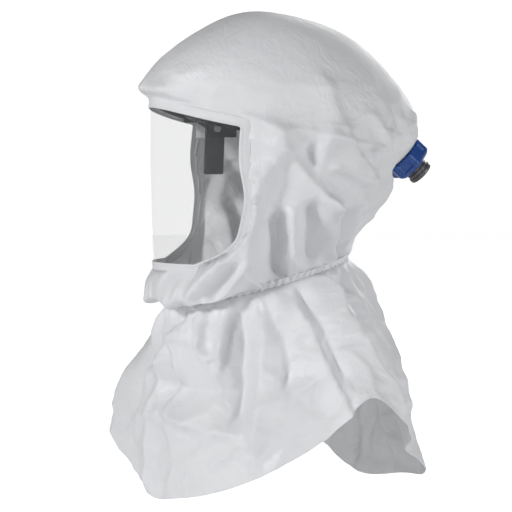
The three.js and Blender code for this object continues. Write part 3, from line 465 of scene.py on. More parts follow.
def foam_material(name, light, dark):
    """Brushed knit over foam."""
    mat, nodes, links, shader = material(name, light, 0.92, specular=0.2)
    shader.inputs["Sheen Weight"].default_value = 0.5
    coords = object_coords(nodes)
    loops = nodes.new("ShaderNodeTexVoronoi")
    loops.inputs["Scale"].default_value = 900
    links.new(coords, loops.inputs["Vector"])
    pile = noise_node(nodes, links, coords, 1500, 4, 0.7)
    mixed = maths(nodes, links, "ADD", loops.outputs["Distance"], pile)
    links.new(ramp(nodes, links, mixed, [(0.4, dark), (1.0, light)]), shader.inputs["Base Color"])
    bump(nodes, links, shader, mixed, 0.6, 0.0005)
    return mat


def metal_material(name):
    mat, nodes, links, shader = material(name, (0.62, 0.63, 0.64), 0.32, metallic=1.0)
    coords = object_coords(nodes)
    brushed = noise_node(nodes, links, coords, 700, 4, 0.7, 0.2)
    links.new(map_range(nodes, links, brushed, 0.3, 0.7, 0.24, 0.42), shader.inputs["Roughness"])
    bump(nodes, links, shader, brushed, 0.15, 0.0001)
    return mat


def lens_material(name):
    """Thin clear film with faint haze and wipe marks."""
    mat, nodes, links, shader = material(name, (0.30, 0.31, 0.32), 0.06, specular=0.6)
    shader.inputs["Alpha"].default_value = 0.08
    coords = object_coords(nodes)
    marks = noise_node(nodes, links, coords, 9, 5, 0.7, 0.8)
    links.new(map_range(nodes, links, marks, 0.35, 0.75, 0.03, 0.14), shader.inputs["Roughness"])
    return mat


WHITE = fabric_material("coated_fabric", (0.78, 0.79, 0.81), (0.73, 0.74, 0.765))
TRIM = fabric_material("trim_fabric", (0.74, 0.75, 0.77), (0.69, 0.70, 0.72), 0.4)
ELASTIC = webbing_material("elastic_tape", (0.82, 0.82, 0.83), (0.62, 0.62, 0.64), 1.2)
LENS = lens_material("clear_lens")
BLACK = plastic_material("black_plastic", (0.028, 0.028, 0.030), (0.014, 0.014, 0.015), 0.42, 0.25)
CHARCOAL = plastic_material("charcoal_plastic", (0.055, 0.051, 0.053), (0.035, 0.033, 0.035), 0.46, 0.25)
BLUE = plastic_material("blue_plastic", (0.016, 0.075, 0.30), (0.010, 0.052, 0.23), 0.30, 0.12, 0.55, 0.08)
GREY = plastic_material("grey_plastic", (0.11, 0.105, 0.11), (0.075, 0.072, 0.076), 0.38, 0.2)
PALE = plastic_material("white_plastic", (0.72, 0.72, 0.70), (0.62, 0.62, 0.60), 0.4, 0.2)
RUBBER = plastic_material("seal_rubber", (0.022, 0.022, 0.022), (0.012, 0.012, 0.012), 0.75, 0.4, 0.3)
FOAM = foam_material("pad_knit", (0.045, 0.045, 0.05), (0.012, 0.012, 0.014))
STEEL = metal_material("brushed_steel")
STRAP = webbing_material("strap_webbing", (0.05, 0.05, 0.055), (0.015, 0.015, 0.016), 1.4)


# ---------------------------------------------------------------- camera, light and floor
def make_stage():
    azimuth = math.radians(73)
    elevation = math.radians(3.5)
    right = Vector((math.cos(azimuth), math.sin(azimuth), 0))
    level = math.cos(elevation)
    look = Vector((-math.sin(azimuth) * level, math.cos(azimuth) * level, -math.sin(elevation)))
    width = 624.64 * MM  # of the picture, at the object
    distance = 3.2
    target = right * -0.0143 + Vector((0, 0, -0.1574))
    camera = bpy.data.cameras.new("camera")
    camera.sensor_width = 36
    camera.lens = camera.sensor_width * distance / width
    camera.clip_end = 50
    holder = bpy.data.objects.new("camera", camera)
    holder.location = target - look * distance
    holder.rotation_euler = look.to_track_quat("-Z", "Y").to_euler()
    bpy.context.scene.collection.objects.link(holder)
    bpy.context.scene.camera = holder

    corners = [Vector((x, y, 0)) for x, y in ((-6, -6), (6, -6), (6, 6), (-6, 6))]
    floor = new_mesh("floor", corners, [(0, 1, 2, 3)], 1)
    floor.location = (0, 0, CAD_BOX[0][2] - 0.012)
    mat, nodes, links, shader = material("floor_white", (0.82, 0.82, 0.82), 0.8, specular=0.1)
    seen = nodes.new("ShaderNodeLightPath").outputs["Is Camera Ray"]
    shader.inputs["Emission Color"].default_value = (1, 1, 1, 1)
    links.new(map_range(nodes, links, seen, 0, 1, 0.12, 0.9), shader.inputs["Emission Strength"])
    floor.data.materials.append(mat)

    world = bpy.data.worlds.new("studio")
    world.use_nodes = True
    nodes, links = world.node_tree.nodes, world.node_tree.links
    seen = nodes.new("ShaderNodeLightPath").outputs["Is Camera Ray"]
    links.new(map_range(nodes, links, seen, 0, 1, 0.10, 1.1), nodes["Background"].inputs["Strength"])
    nodes["Background"].inputs["Color"].default_value = (1.0, 1.0, 1.0, 1)
    bpy.context.scene.world = world

    for name, position, size, power in (
        ("key", (1.0, -2.4, 0.9), 0.5, 48),
        ("low", (3.0, -0.4, -0.4), 0.8, 23),
        ("back", (2.0, 2.2, 0.3), 1.0, 30),
        ("far", (-2.2, 1.8, 1.1), 1.6, 34),
        ("top", (-0.6, 0.2, 2.2), 1.2, 3),
    ):
        light = bpy.data.lights.new(name, "AREA")
        light.size = size
        light.energy = power
        lamp = bpy.data.objects.new(name, light)
        lamp.location = position
        towards = Vector((0, 0, -0.15)) - Vector(position)
        lamp.rotation_euler = towards.to_track_quat("-Z", "Y").to_euler()
        bpy.context.scene.collection.objects.link(lamp)
    bpy.context.scene.view_settings.view_transform = "Standard"


# ---------------------------------------------------------------- fabric
HOOD_COLUMNS = 200
CROWN_ROWS = 40
SIDE_ROWS = 58

# Creases of the hood on the wearer's left: path by angle and height, height out (+) or in (-),
# then the width on the side nearer the front and on the side nearer the back.
SIDE_CREASES = [
    ([(75, -2), (78, -37), (72, -60), (68, -88), (66, -117), (60, -150), (47, -180)], 9, 15, 16),
    ([(84, -38), (82, -70), (78, -98)], -6, 10, 13),
    ([(73, -100), (75, -135), (77, -160), (78, -190)], 15, 20, 4),
    ([(82, -110), (87, -138), (90, -168)], -24, 9, 12),
    ([(90, -98), (94, -118), (96, -133), (104, -160)], 10, 7, 5),
    ([(100, -96), (107, -124), (117, -152)], -20, 8, 9),
    ([(106, -86), (115, -108), (124, -130), (131, -156)], 12, 8, 4),
    ([(122, -106), (132, -132), (142, -154)], -16, 5, 8),
    ([(129, -98), (141, -125), (151, -152)], 8, 5, 8),
    ([(77, -4), (81, -25), (92, -53), (103, -85), (112, -95)], 9, 12, 5),
    ([(90, -24), (99, -52), (107, -80)], -7, 5, 9),
    ([(95, -4), (95, -22), (99, -56), (103, -77), (112, -97)], 8, 4, 10),
    ([(104, -13), (115, -33), (126, -51), (130, -62)], 8, 10, 4),
    ([(123, -28), (132, -57), (130, -75), (137, -99)], 8, 4, 9),
    ([(106, -47), (114, -53), (126, -66)], 8, 4, 8),
    ([(102, 55), (99, 30), (101, 7), (104, -3)], 5, 14, 7),
    ([(129, 20), (121, 0), (126, -15)], 6, 5, 10),
    ([(132, 19), (135, -2), (141, -7)], -5, 5, 7),
    ([(155, 16), (141, -3), (149, -22)], 7, 5, 9),
    ([(66, -130), (60, -158), (44, -184), (20, -190)], 7, 10, 7),
    ([(77, -166), (62, -188), (38, -203)], 9, 8, 7),
    ([(70, -158), (56, -180), (36, -192)], -8, 6, 6),
    ([(62, 14), (76, 3), (98, -10), (126, -24)], 4, 6, 3),
]
BACK_CREASES = [
    ([(150, -30), (160, -70), (164, -150)], 8, 12, 4),
    ([(145, 6), (165, -8), (190, -6), (214, 8)], 5, 4, 9),
    ([(212, 2), (222, -30), (214, -60), (208, -96)], 8, 4, 12),
    ([(230, -20), (238, -60), (226, -110)], 8, 12, 5),
    ([(171, -55), (174, -100), (172, -150)], -9, 8, 9),
    ([(183, -50), (181, -90), (184, -150)], 6, 5, 10),
    ([(194, -58), (192, -100), (196, -150)], -9, 9, 9),
    ([(204, -45), (203, -90), (206, -150)], 6, 10, 4),
]


def crease_height(creases, x, y, aspect):
    """Sum of the creases at a point; x is scaled by the aspect to the units of y and the widths."""
    total = 0
    for path, height, before, after in creases:
        reach = 3 * max(before, after)
        if not min(p[1] for p in path) - reach < y < max(p[1] for p in path) + reach:
            continue
        if not min(p[0] for p in path) - reach / aspect < x < max(p[0] for p in path) + reach / aspect:
            continue
        nearest = 9.0
        for (x0, y0), (x1, y1) in zip(path, path[1:]):
            run_x, run_y = (x1 - x0) * aspect, y1 - y0
            off_x, off_y = (x - x0) * aspect, y - y0
            s = clamp((off_x * run_x + off_y * run_y) / (run_x**2 + run_y**2))
            width = after if run_x * off_y > run_y * off_x else before
            nearest = min(nearest, math.hypot(off_x - run_x * s, off_y - run_y * s) / width)
        total += height * math.exp(-(nearest**1.3))
    return total


def mirrored(creases):
    """The same creases on the other side, a little smaller and moved, since no two sides fold alike."""
    out = []
    for path, height, before, after in creases:
        out.append(([(4 - 1.02 * x, y - 4) for x, y in path], 0.85 * height, after, before))
    return out


def soft_noise(x, y, z, scale):
    return noise.noise(Vector((x, y, z)) / scale)


def crumple(point, sharpness, scale):
    """Ridged noise, for the dents and ridges of creased sheet."""
    ridged = 1 - abs(soft_noise(point.x, point.y, point.z, scale)) * 2
    return ridged**sharpness - 0.45


def crown_point(creases, signed, q):
    """Crown at an angle and a share of the way to the seam: place unfolded, point, rest point, weight."""
    t = section_through(signed, seam_z(signed)) * q**0.85
    point = hood_point(signed, t)
    out = Vector((point.x, point.y - HEAD_AXIS_Y, max(0, point.z) * 0.8)).normalized()
    fold = crease_height(creases, signed, point.z, ARC) * smooth(q, 0.3, 0.6)
    above = point.z - seam_z(signed) - 7
    brow = math.exp(-((above / (13 if above > 0 else 4.5)) ** 2))
    brow *= 1 - smooth(abs(signed), 18, 48)
    fold += brow * (9.5 + 4.5 * soft_noise(point.x, point.y, 20, 12))
    fold += 2.6 * crumple(point, 2, 52) * smooth(q, 0.25, 0.6) + 0.6 * crumple(point, 3, 18)
    made = point + out * fold
    return (signed, point.z), made, made.copy(), lerp(1.0, 0.5, smooth(q, 0.7, 1.0))


def side_point(creases, angle, signed, q):
    """Side at an angle and a share of the way from the seam to the neck; gives what crown_point gives."""
    beside_lens = smooth(abs(signed), 50, 75)
    z = lerp(seam_z(signed), hood_point(signed, NECK).z, q)
    point = hood_at(signed, z)
    free = 1 - smooth(q, 0.93, 1.0)
    fold = 1.25 * crease_height(creases, signed, z, ARC)
    fold += crease_height(BACK_CREASES, angle, z, ARC)
    fold += (3.5 * crumple(point, 2, 36) + 1.4 * crumple(point, 3, 15)) * beside_lens
    pouch = smooth(q, 0.7, 0.93) * (1 - smooth(abs(signed), 58, 80))
    fold += (12 + 4 * soft_noise(signed, z / 3, 5, 11)) * pouch
    ripple = smooth(q, 0.8, 0.97) * 2.4
    fold += ripple * math.sin(math.radians(signed) * 34 + 3 * soft_noise(signed, 0, 3, 16))
    sag = (21 + 6 * soft_noise(signed, 0, 9, 13)) * pouch * lerp(0.45, 1, smooth(abs(signed), 0, 30))
    out = outward(point, HEAD_AXIS_Y)
    made = point + out * (fold * lerp(0.12, 1, free)) - Vector((0, 0, sag * free))
    grow = 1 + 0.02 * smooth(q, 0.1, 0.7) * beside_lens
    rest = Vector((made.x * grow, made.y * grow, made.z))
    return (signed, z), made, rest, lerp(0.5, 0.06, smooth(q, 0.0, 0.16)) if q < 1 else 1.0


def hood_fabric():
    """The hood's cloth in one grid: crown rows down to the seam, then loose rows to the gathered neck."""
    creases = SIDE_CREASES + mirrored(SIDE_CREASES)
    mapped = []  # angle and height of each point before it is folded
    points = []
    rest = []
    weights = []
    columns = HOOD_COLUMNS
    for j in range(CROWN_ROWS + SIDE_ROWS + 1):
        for i in range(columns):
            angle = 360 * i / columns
            signed = angle - 360 if angle > 180 else angle
            if j <= CROWN_ROWS:
                made = crown_point(creases, signed, (j + 0.6) / (CROWN_ROWS + 0.6))
            else:
                made = side_point(creases, angle, signed, (j - CROWN_ROWS) / SIDE_ROWS)
            for values, value in zip((mapped, points, rest, weights), made):
                values.append(value)
    faces = grid_faces(columns, CROWN_ROWS + SIDE_ROWS + 1, True)
    keep = []
    for face in faces:
        angle = mapped[face[0]][0] + 180 / columns
        z = sum(mapped[v][1] for v in face) / 4
        if not inside_lens(angle, z, -BINDING * 0.55):
            keep.append(face)
    apex = len(points)
    points.append(Vector((0, -15, 140.2)))
    rest.append(points[-1].copy())
    weights.append(1.0)
    keep += [((i + 1) % columns, i, apex) for i in range(columns)]
    for v, (angle, z) in enumerate(mapped):
        if inside_lens(angle, z, -BINDING * 1.05):
            weights[v] = 1.0
            points[v] = hood_at(angle, z) if z < seam_z(angle) - 0.5 else points[v]
    obj = new_mesh("hood_fabric", points, keep)
    for v in range(len(points)):
        to_inlet = (points[v] * MM - INLET_POINT).length
        if to_inlet < INLET_HELD:
            weights[v] = max(weights[v], 1.0 if to_inlet < INLET_STIFF else 0.6)
    settle(obj, rest, weights)
    drop_loose(obj)
    cut_inlet(obj)
    relax(obj)
    return obj


def drop_loose(obj):
    """Removes the points that no face uses."""
    bm = bmesh.new()
    bm.from_mesh(obj.data)
    bmesh.ops.delete(bm, geom=[v for v in bm.verts if not v.link_faces], context="VERTS")
    bmesh.ops.recalc_face_normals(bm, faces=bm.faces)
    bm.to_mesh(obj.data)
    bm.free()


def cut_inlet(obj):
    """Round hole for the inlet, its edge drawn onto a circle."""
    bm = bmesh.new()
    bm.from_mesh(obj.data)
    doomed = []
    for face in bm.faces:
        from_axis = face.calc_center_median() - INLET_POINT
        along = from_axis.dot(INLET_AXIS)
        if abs(along) < 0.05 and (from_axis - INLET_AXIS * along).length < INLET_HOLE:
            doomed.append(face)
    bmesh.ops.delete(bm, geom=doomed, context="FACES")
    bmesh.ops.delete(bm, geom=[v for v in bm.verts if not v.link_faces], context="VERTS")
    for v in bm.verts:
        from_axis = v.co - INLET_POINT
        along = from_axis.dot(INLET_AXIS)
        across = from_axis - INLET_AXIS * along
        if v.is_boundary and abs(along) < 0.05 and across.length < INLET_HOLE * 1.5:
            v.co = INLET_POINT + INLET_AXIS * along + across.normalized() * INLET_HOLE
        distance = (v.co - INLET_POINT - INLET_AXIS * along).length
        flat = 1 - smooth(distance, INLET_FLAT, INLET_HELD)
        if abs(along) < 0.03 and flat > 0:
            v.co -= INLET_AXIS * ((along + 0.0009) * flat)
    bm.to_mesh(obj.data)
    bm.free()


def closed_curve(points, loop):
    """Smooth closed curve through points, by loop from 0 to 1."""
    count = len(points)
    at = (loop % 1) * count
    i = int(at)
    f = at - i
    a, b, c, d = (Vector(points[(i + k) % count]) for k in (-1, 0, 1, 2))
    return b + 0.5 * f * (c - a + f * (2 * a - 5 * b + 4 * c - d + f * (3 * (b - c) + d - a)))


SHROUD_COLUMNS = 260
SHROUD_ROWS = 64
SHROUD_HEIGHT = 240
# Folds of the shroud: path by percent round it from the front and mm below the neck,
# height out (+) or in (-), then the width on each side, in mm.
SHROUD_FOLDS = [
    ([(9, -18), (2.5, -44), (-3, -82)], 8, 4, 18),
    ([(7, -8), (0.5, -38), (-5, -80)], -9, 12, 4),
    ([(1, -72), (-1.5, -120), (-2, -150), (-1, -225)], 12, 14, 14),
    ([(15.8, -14), (14.5, -52), (14, -68), (12, -72), (10.2, -55), (11, -28)], 7, 4, 4),
    ([(17.2, -20), (17.6, -60), (17, -100), (16.3, -150)], -18, 12, 12),
    ([(15.6, -8), (14.6, -60), (14.2, -80)], 9, 8, 3),
    ([(20.7, -36), (19, -120), (18, -190)], 14, 6, 24),
    ([(21.6, -20), (23, -90), (22.3, -140)], -9, 7, 10),
    ([(25, -20), (26.3, -72), (26.5, -122), (27.3, -178), (28, -240)], 10, 14, 4),
    ([(27, -20), (28.2, -76), (28.4, -125), (29.2, -190)], -9, 4, 11),
    ([(33, -4), (32.3, -74), (34.5, -165), (37.5, -205)], 16, 26, 3.5),
    ([(36, -12), (37.5, -74), (40, -150)], -18, 9, 14),
    ([(46.5, -12), (46.3, -62), (43.8, -120), (43.8, -160)], 10, 5, 10),
    ([(-1, -140), (1.5, -130), (6, -140), (10.5, -154), (16, -176)], 7, 8, 14),
    ([(0, -96), (9, -108), (17, -120)], -11, 22, 20),
    ([(4, -30), (6, -90)], 5, 5, 8),
    ([(40.6, -175), (41, -245)], -15, 12, 12),
    ([(88, -150), (89, -245)], 13, 45, 45),
    ([(51, -10), (51, -80), (50, -200)], -12, 9, 9),
    ([(55, -12), (56, -90), (57, -210)], 12, 9, 10),
    ([(60, -10), (60, -90), (61, -170)], -14, 9, 8),
    ([(65, -10), (65, -80), (66, -225)], 14, 10, 6),
    ([(70, -12), (70, -100), (71, -190)], -15, 12, 8),
    ([(74, -6), (75, -80), (77, -210)], 14, 5, 14),
    ([(79, -14), (81, -70), (82, -160)], -13, 9, 12),
    ([(84, -10), (86, -90), (88, -200)], 12, 9, 7),
    ([(89, -14), (91, -80), (92, -150)], -12, 12, 8),
    ([(94, -10), (95, -70), (94, -190)], 10, 7, 13),
]


def shroud_point(loop, down):
    top = hood_point(loop * 360, NECK)
    hem = closed_curve(HEM, loop)
    out = down**0.72
    point = Vector((lerp(top.x, hem.x, out), lerp(top.y, hem.y, out), lerp(top.z - 1.5, hem.z, down)))
    away = outward(point, NECK_AXIS_Y)
    percent = loop * 100
    around = lerp(6.2, 12.0, down)
    fold = 0
    for turn in (-100, 0, 100):
        fold += crease_height(SHROUD_FOLDS, percent + turn, -down * SHROUD_HEIGHT, around)
    fold += 4.0 * crumple(point, 2, 42) + 1.5 * crumple(point, 3, 17)
    wave = math.sin(2 * math.pi * 31 * loop + 2.5 * soft_noise(loop * 9, 0, 7, 1))
    gather = (1 - smooth(down, 0.04, 0.3)) * smooth(down, 0, 0.05)
    return point + away * (1.2 * fold * smooth(down, 0, 0.12) + 2.6 * wave * gather)


def shroud_fabric():
    points = []
    rest = []
    weights = []
    for j in range(SHROUD_ROWS + 1):
        down = j / SHROUD_ROWS
        for i in range(SHROUD_COLUMNS):
            point = shroud_point(i / SHROUD_COLUMNS, down)
            points.append(point)
            grow = lerp(1.02, 1.0, smooth(down, 0, 0.75))
            rest.append(Vector((point.x * grow, (point.y + 5) * grow - 5, point.z)))
            weights.append(1.0 if j == 0 else lerp(0.05, 0.2, smooth(down, 0.3, 1.0)))
    obj = new_mesh("shroud_fabric", points, grid_faces(SHROUD_COLUMNS, SHROUD_ROWS + 1, True))
    settle(obj, rest, weights)
    drop_loose(obj)
    relax(obj)
    return obj


def neck_frill():
    """Gathered casing over the elastic, with its crimped edges standing out."""
    points = []
    ripples = 74
    columns = ripples * 8
    rows = (-7, -4.5, -2.4, 0, 2.4, 4.5, 6.5)
    for z in rows:
        edge = abs(z) / 7
        for i in range(columns):
            loop = i / columns
            angle = loop * 360
            base = hood_point(angle, NECK)
            out = outward(base, NECK_AXIS_Y)
            jitter = noise.noise(Vector((loop * 40, z * 0.1, 1)))
            wave = math.sin(2 * math.pi * ripples * loop + 1.8 * jitter)
            amount = 0.7 + 2.6 * edge**1.5 * (0.6 + 0.7 * abs(jitter))
            points.append(base + out * (0.6 + 2.2 * edge + amount * wave) + Vector((0, 0, z + 0.8 * jitter)))
    return new_mesh("neck_casing", points, grid_faces(columns, len(rows), True))


def lens_panel():
    """Curved film behind the binding, reaching a little past the lens outline."""
    columns, rows = 49, 33
    points = []
    for j in range(rows):
        down = lerp(-0.02, 1.02, j / (rows - 1))
        for i in range(columns):
            across = lerp(-1.03, 1.03, i / (columns - 1))
            angle, z = lens_map(across, clamp(down, -0.02, 1.0))
            point = hood_at(angle, z - (max(0, down - 1) * 180))
            points.append(point - outward(point, 20) * 1.9)
    obj = new_mesh("lens_sheet", points, grid_faces(columns, rows, False))
    thicken(obj, 0.8)
    shade(obj)
    return obj


STITCH_SIDES = 6


def stitch_row(name, path, pitch, length, thick):
    """A row of short thread stitches along a closed path of points, as one mesh."""
    points = []
    faces = []
    count = len(path)
    lengths = [(path[(i + 1) % count] - path[i]).length for i in range(count)]
    total = sum(lengths)
    stitches = int(total / pitch)
    index = 0
    passed = 0.0
    for k in range(stitches):
        at = total * k / stitches
        while passed + lengths[index] < at:
            passed += lengths[index]
            index += 1
        a = path[index]
        along = (path[(index + 1) % count] - a).normalized()
        start = a + along * (at - passed)
        out = outward(start, HEAD_AXIS_Y)
        side = along.cross(out).normalized()
        base = len(points)
        for s, bulge in ((0, 0.35), (0.25, 1), (0.75, 1), (1, 0.35)):
            centre = start + along * (length * s) + out * (thick * 0.25 * bulge)
            for m in range(STITCH_SIDES):
                turn = math.pi * m / 3
                ring = side * math.cos(turn) + out * math.sin(turn)
                points.append(centre + ring * (thick / 2 * (0.5 + 0.5 * bulge)))
        faces += [tuple(base + v for v in face) for face in grid_faces(STITCH_SIDES, 4, True)]
        faces.append(tuple(base + m for m in range(STITCH_SIDES - 1, -1, -1)))
        faces.append(tuple(base + 3 * STITCH_SIDES + m for m in range(STITCH_SIDES)))
    obj = new_mesh(name, points, faces)
    shade(obj)
    return obj


LENS_PATH_POINTS = 260


def lens_path(out_by, lift):
    """Points round the lens, a distance outside its outline and lifted off the hood."""
    path = []
    for i in range(LENS_PATH_POINTS):
        angle, z = lens_loop(i / LENS_PATH_POINTS, out_by)
        point = hood_at(angle, z)
        path.append(point + outward(point, HEAD_AXIS_Y) * lift)
    return path


def binding_strip():
    """Folded fabric strip sewn flat round the lens, with a soft rolled edge on each side."""
    profile = (
        (-0.6, 0.1), (0.2, 0.9), (1.2, 1.05), (2.6, 0.75), (5.5, 0.7),
        (8.4, 0.75), (9.8, 1.0), (10.8, 0.8), (11.2, 0),
    )
    points = []
    for out_by, lift in profile:
        points += lens_path(out_by, lift)
    obj = new_mesh("lens_binding_fabric", points, grid_faces(LENS_PATH_POINTS, len(profile), True))
    thicken(obj, 0.7)
    shade(obj)
    return obj


# ---------------------------------------------------------------- air inlet
COLLAR_FLATS = 0.0255  # from the axis to a flat
COLLAR_BORE = 0.0192
COLLAR_MOUTH = 0.0162
COLLAR_FROM = 0.002
COLLAR_TO = 0.026


def inlet_frame(corner_of):
    """Directions across the inlet axis, the first one through a corner of a CAD piece."""
    best = Vector((0, 0, 0))
    for v in frame["nodes"][corner_of].data.vertices:
        from_axis = v.co - INLET_POINT
        across = from_axis - INLET_AXIS * from_axis.dot(INLET_AXIS)
        if across.length > best.length:
            best = across
    first = best.normalized()
    return first, INLET_AXIS.cross(first)


def rings_on_inlet(name, rings, columns, first, second):
    """Closed skin of rings about the inlet axis; a ring gives radius and distance by turn in degrees."""
    points = []
    for ring in rings:
        for i in range(columns):
            turn = 360 * i / columns
            radius, along = ring(turn)
            c, w = math.cos(math.radians(turn)), math.sin(math.radians(turn))
            points.append(INLET_POINT + INLET_AXIS * along + first * (radius * c) + second * (radius * w))
    faces = grid_faces(columns, len(rings), True)
    last = (len(rings) - 1) * columns
    faces += [(last + i, last + (i + 1) % columns, (i + 1) % columns, i) for i in range(columns)]
    obj = new_mesh(name, points, faces, 1)
    shade(obj, 32)
    return obj


def collar_piece():
    """Hexagonal locking collar: rounded corners, softly hollow flats, each with a sunk grip panel."""

    def outer(along, inset):
        def ring(turn):
            off = (turn + 30) % 60 - 30
            to_flat = 30 - abs(off)
            hexagon = COLLAR_FLATS / math.cos(math.radians(to_flat))
            radius = min(hexagon, COLLAR_FLATS * 1.125) - inset
            hollow = 0.0006 * (1 - (to_flat / 30) ** 2)
            panel = smooth(along, 0.0062, 0.0074) * (1 - smooth(along, 0.0176, 0.0188))
            sunk = 0.0013 * panel * (1 - smooth(to_flat, 15.5, 17.5))
            return radius - hollow - sunk, along
        return ring

    def round_ring(along, radius):
        return lambda turn: (radius, along)

    near_edge = ((COLLAR_FROM, 0.0035), (0.0026, 0.0016), (0.0034, 0.0006), (0.0046, 0.0))
    far_edge = ((0.0208, 0.0006), (0.0222, 0.0018), (0.0240, 0.0040), (0.0254, 0.0062))
    inside = (
        (COLLAR_TO, 0.0180), (COLLAR_TO, 0.0168), (0.0256, COLLAR_MOUTH), (0.0236, COLLAR_MOUTH),
        (0.0234, 0.0165), (0.0234, COLLAR_BORE), (0.0120, COLLAR_BORE), (0.0024, COLLAR_BORE),
        (COLLAR_FROM, 0.0196),
    )
    rings = [outer(*at) for at in near_edge]
    rings += [outer(lerp(0.0054, 0.0196, k / 20), 0.0) for k in range(21)]
    rings += [outer(*at) for at in far_edge]
    rings += [round_ring(*at) for at in inside]
    return rings_on_inlet("locking_collar_shell", rings, 192, *inlet_frame("locking_collar"))


def socket_piece():
    """Grey socket: beaded lip and a groove for the tube's clip."""
    profile = [
        (11.3, 4.5), (11.8, 4.05), (14.1, 4.05), (14.6, 4.5), (14.6, 9.4), (13.1, 9.5), (13.1, 11.9),
        (14.6, 12), (14.6, 24.8), (13.3, 26), (13.2, 26.4), (13.2, 29.2), (13.4, 29.6), (14.5, 30.5),
        (14.6, 31),
        (14.6, 34.2), (15.2, 34.7), (15.8, 35.2), (15.9, 35.8), (15.9, 38.9), (15.6, 39.6), (15.0, 39.98),
        (12.1, 39.98), (11.5, 39.6), (11.3, 39.0), (11.3, 22),
    ]

    def ring_at(radius, along):
        return lambda turn: (radius * MM, along * MM)

    rings = [ring_at(radius, along) for radius, along in profile]
    return rings_on_inlet("swivel_socket_shell", rings, 96, *inlet_frame("locking_collar"))


def inlet_patch_piece():
    """Round fabric patch sewn over the hood, its edge turned under."""
    profile = [
        (19.0, -1.3), (19.6, -0.55), (21.5, -0.45), (24.0, -0.75), (28.0, -0.65), (31.0, -0.85), (32.4, -0.5),
        (33.4, -0.65), (33.7, -1.2), (33.2, -1.5), (28.0, -1.5), (22.0, -1.5),
    ]

    def ring_at(radius, along):
        def ring(turn):
            ripple = 0.12 * math.sin(math.radians(turn) * 23) * smooth(radius, 26, 33)
            return radius * MM, (along + ripple) * MM
        return ring

    rings = [ring_at(radius, along) for radius, along in profile]
    return rings_on_inlet("inlet_patch_fabric", rings, 144, *inlet_frame("locking_collar"))


def ring_path(radius, along):
    """Points of a circle about the inlet axis, in mm."""
    first, second = inlet_frame("locking_collar")
    count = 120
    path = []
    for i in range(count):
        turn = 2 * math.pi * i / count
        across = first * math.cos(turn) + second * math.sin(turn)
        path.append((INLET_POINT + INLET_AXIS * along * MM) / MM + across * radius)
    return path


# ---------------------------------------------------------------- pads and tabs
PAD_VOXEL = 0.0016
CHANNEL_WIDTH = 0.0011


def inflate(obj, pressure, frames, cap):
    """Cloth simulation under pressure, with no point moving further than a cap."""
    before = [v.co.copy() for v in obj.data.vertices]
    mod = obj.modifiers.new("cloth", "CLOTH")
    s = mod.settings
    s.quality = 5
    s.mass = 0.1
    s.use_pressure = True
    s.uniform_pressure_force = pressure
    s.tension_stiffness = 18
    s.compression_stiffness = 18
    s.bending_stiffness = 0.4
    s.effector_weights.gravity = 0
    after = run_cloth(obj, mod, frames)
    for v, a, b in zip(obj.data.vertices, before, after):
        move = b - a
        if move.length > cap:
            move *= cap / move.length
        v.co = a + move
    bpy.context.scene.frame_set(1)


def pad_piece(node, channel_at, pitch, depth):
    """Padded piece in a CAD pad's place: swollen, with sewn channels one pitch apart along channel_at."""
    mesh = frame["nodes"][node].data.copy()
    obj = bpy.data.objects.new(node + "_knit", mesh)
    bpy.context.scene.collection.objects.link(obj)
    remesh = obj.modifiers.new("remesh", "REMESH")
    remesh.mode = "VOXEL"
    remesh.voxel_size = PAD_VOXEL
    finish_mesh(obj)
    obj.data.materials.clear()
    inflate(obj, pressure=3.0, frames=10, cap=0.0009)
    obj.data.update()
    normals = [v.normal.copy() for v in obj.data.vertices]
    for v, normal in zip(obj.data.vertices, normals):
        off = (channel_at(v.co) / pitch + 0.5) % 1 - 0.5
        groove = math.exp(-((off * pitch / CHANNEL_WIDTH) ** 2))
        v.co -= normal * (depth * groove)
    smoothing = obj.modifiers.new("smoothing", "SMOOTH")
    smoothing.factor = 0.5
    smoothing.iterations = 3
    shade(obj)
    return obj


def hood_tab_piece(side):
    """Woven tab from the hood's lens corner to the hanger, softly rippled."""
    word = "left" if side > 0 else "right"
    low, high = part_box("hood_tab_" + word)
    middle = (low + high) / 2
    front_x, back_x = (high.x, low.x) if side > 0 else (low.x, high.x)
    columns, rows = 25, 13
    points = []
    for j in range(rows):
        for i in range(columns):
            p, q = i / (columns - 1), j / (rows - 1)
            wave = 0.0005 * math.sin(p * 9) * math.cos(q * 5)
            x = lerp(front_x, back_x, p) + side * (wave - 0.0004)
            z = lerp(high.z, low.z, q) - (0.5 - abs(p - 0.5)) * 0.0006
            points.append(Vector((x, lerp(low.y, high.y, p), middle.z + (z - middle.z) * 0.97)))
    obj = new_mesh("hood_tab_" + word + "_webbing", points, grid_faces(columns, rows, False), 1)
    thicken(obj, 1.0, 0)
    shade(obj)
    return obj


# ---------------------------------------------------------------- dressing the CAD nodes
SLOT_FINISH = {
    "hood_fabric": WHITE, "elastic": ELASTIC, "lens": LENS, "pad": FOAM, "steel": STEEL, "rubber": RUBBER,
    "black_plastic": BLACK, "charcoal_plastic": CHARCOAL, "white_plastic": PALE,
    "blue_plastic": BLUE, "grey_plastic": GREY,
}
STRAP_NODES = ("crown_strap_long", "crown_strap_cross")


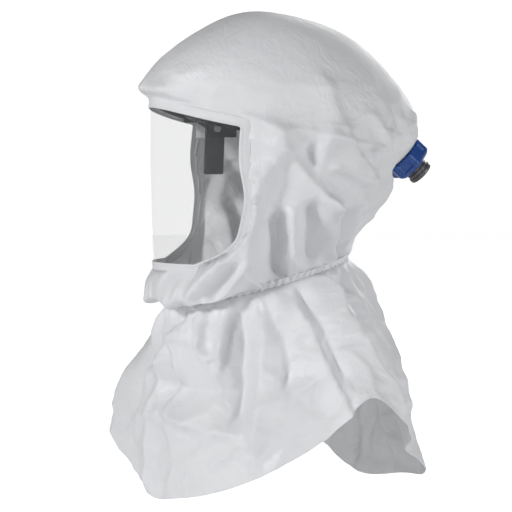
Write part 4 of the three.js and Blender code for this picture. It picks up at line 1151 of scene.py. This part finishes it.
def dress_cad():
    """Gives each CAD node the finish of its slot."""
    for part in frame["record"]["subparts"]:
        obj = frame["nodes"][part["node"]]
        finish = STRAP if part["node"] in STRAP_NODES else SLOT_FINISH[part["material_slot"]]
        obj.data.materials.clear()
        obj.data.materials.append(finish)
        shade(obj, 35)


# ---------------------------------------------------------------- the scene
def place(obj, finish, body, slot, *nodes):
    """Gives a piece its finish and its body, and hides the CAD nodes that it stands for; slot is not used."""
    obj.data.materials.append(finish)
    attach(obj, body)
    if nodes:
        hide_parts(*nodes)
    return obj


make_stage()
dress_cad()

hood = place(hood_fabric(), WHITE, "hood", "hood_fabric",
             "crown_panel", "side_panel_left", "side_panel_right", "chin_panel")
thicken(hood, FABRIC)
shade(hood)

shroud = place(shroud_fabric(), WHITE, "hood", "hood_fabric", "shroud_front", "shroud_back")
thicken(shroud, FABRIC)
shade(shroud)

casing = place(neck_frill(), WHITE, "hood", "hood_fabric", "neck_elastic")
thicken(casing, FABRIC)
shade(casing)

place(lens_panel(), LENS, "hood", "lens", "lens")

binding = place(binding_strip(), TRIM, "hood", "hood_fabric", "lens_binding")
place(stitch_row("lens_binding_stitches", lens_path(2.6, 0.95), pitch=3.4, length=2.3, thick=0.5),
      ELASTIC, "hood", "hood_fabric")

place(inlet_patch_piece(), TRIM, "hood", "hood_fabric", "inlet_patch")
place(stitch_row("inlet_patch_stitches", ring_path(31.2, -0.6), pitch=3.2, length=2.2, thick=0.5),
      ELASTIC, "hood", "hood_fabric")

place(collar_piece(), BLUE, "collar", "blue_plastic", "locking_collar")
place(socket_piece(), GREY, "socket", "grey_plastic", "swivel_socket")

for node, channel_at, pitch, depth in (
    ("crown_pad", lambda p: p.x + 0.008, 0.016, 0.0012),
    ("sweatband", lambda p: math.atan2(p.x, -p.y) * 0.088, 0.014, 0.0010),
    ("nape_pad", lambda p: p.x + 0.011, 0.022, 0.0012),
):
    pad = place(pad_piece(node, channel_at, pitch, depth), FOAM, "hood", "pad", node)

for word, side in (("left", 1), ("right", -1)):
    tab = place(hood_tab_piece(side), ELASTIC, "hood", "elastic", "hood_tab_" + word)
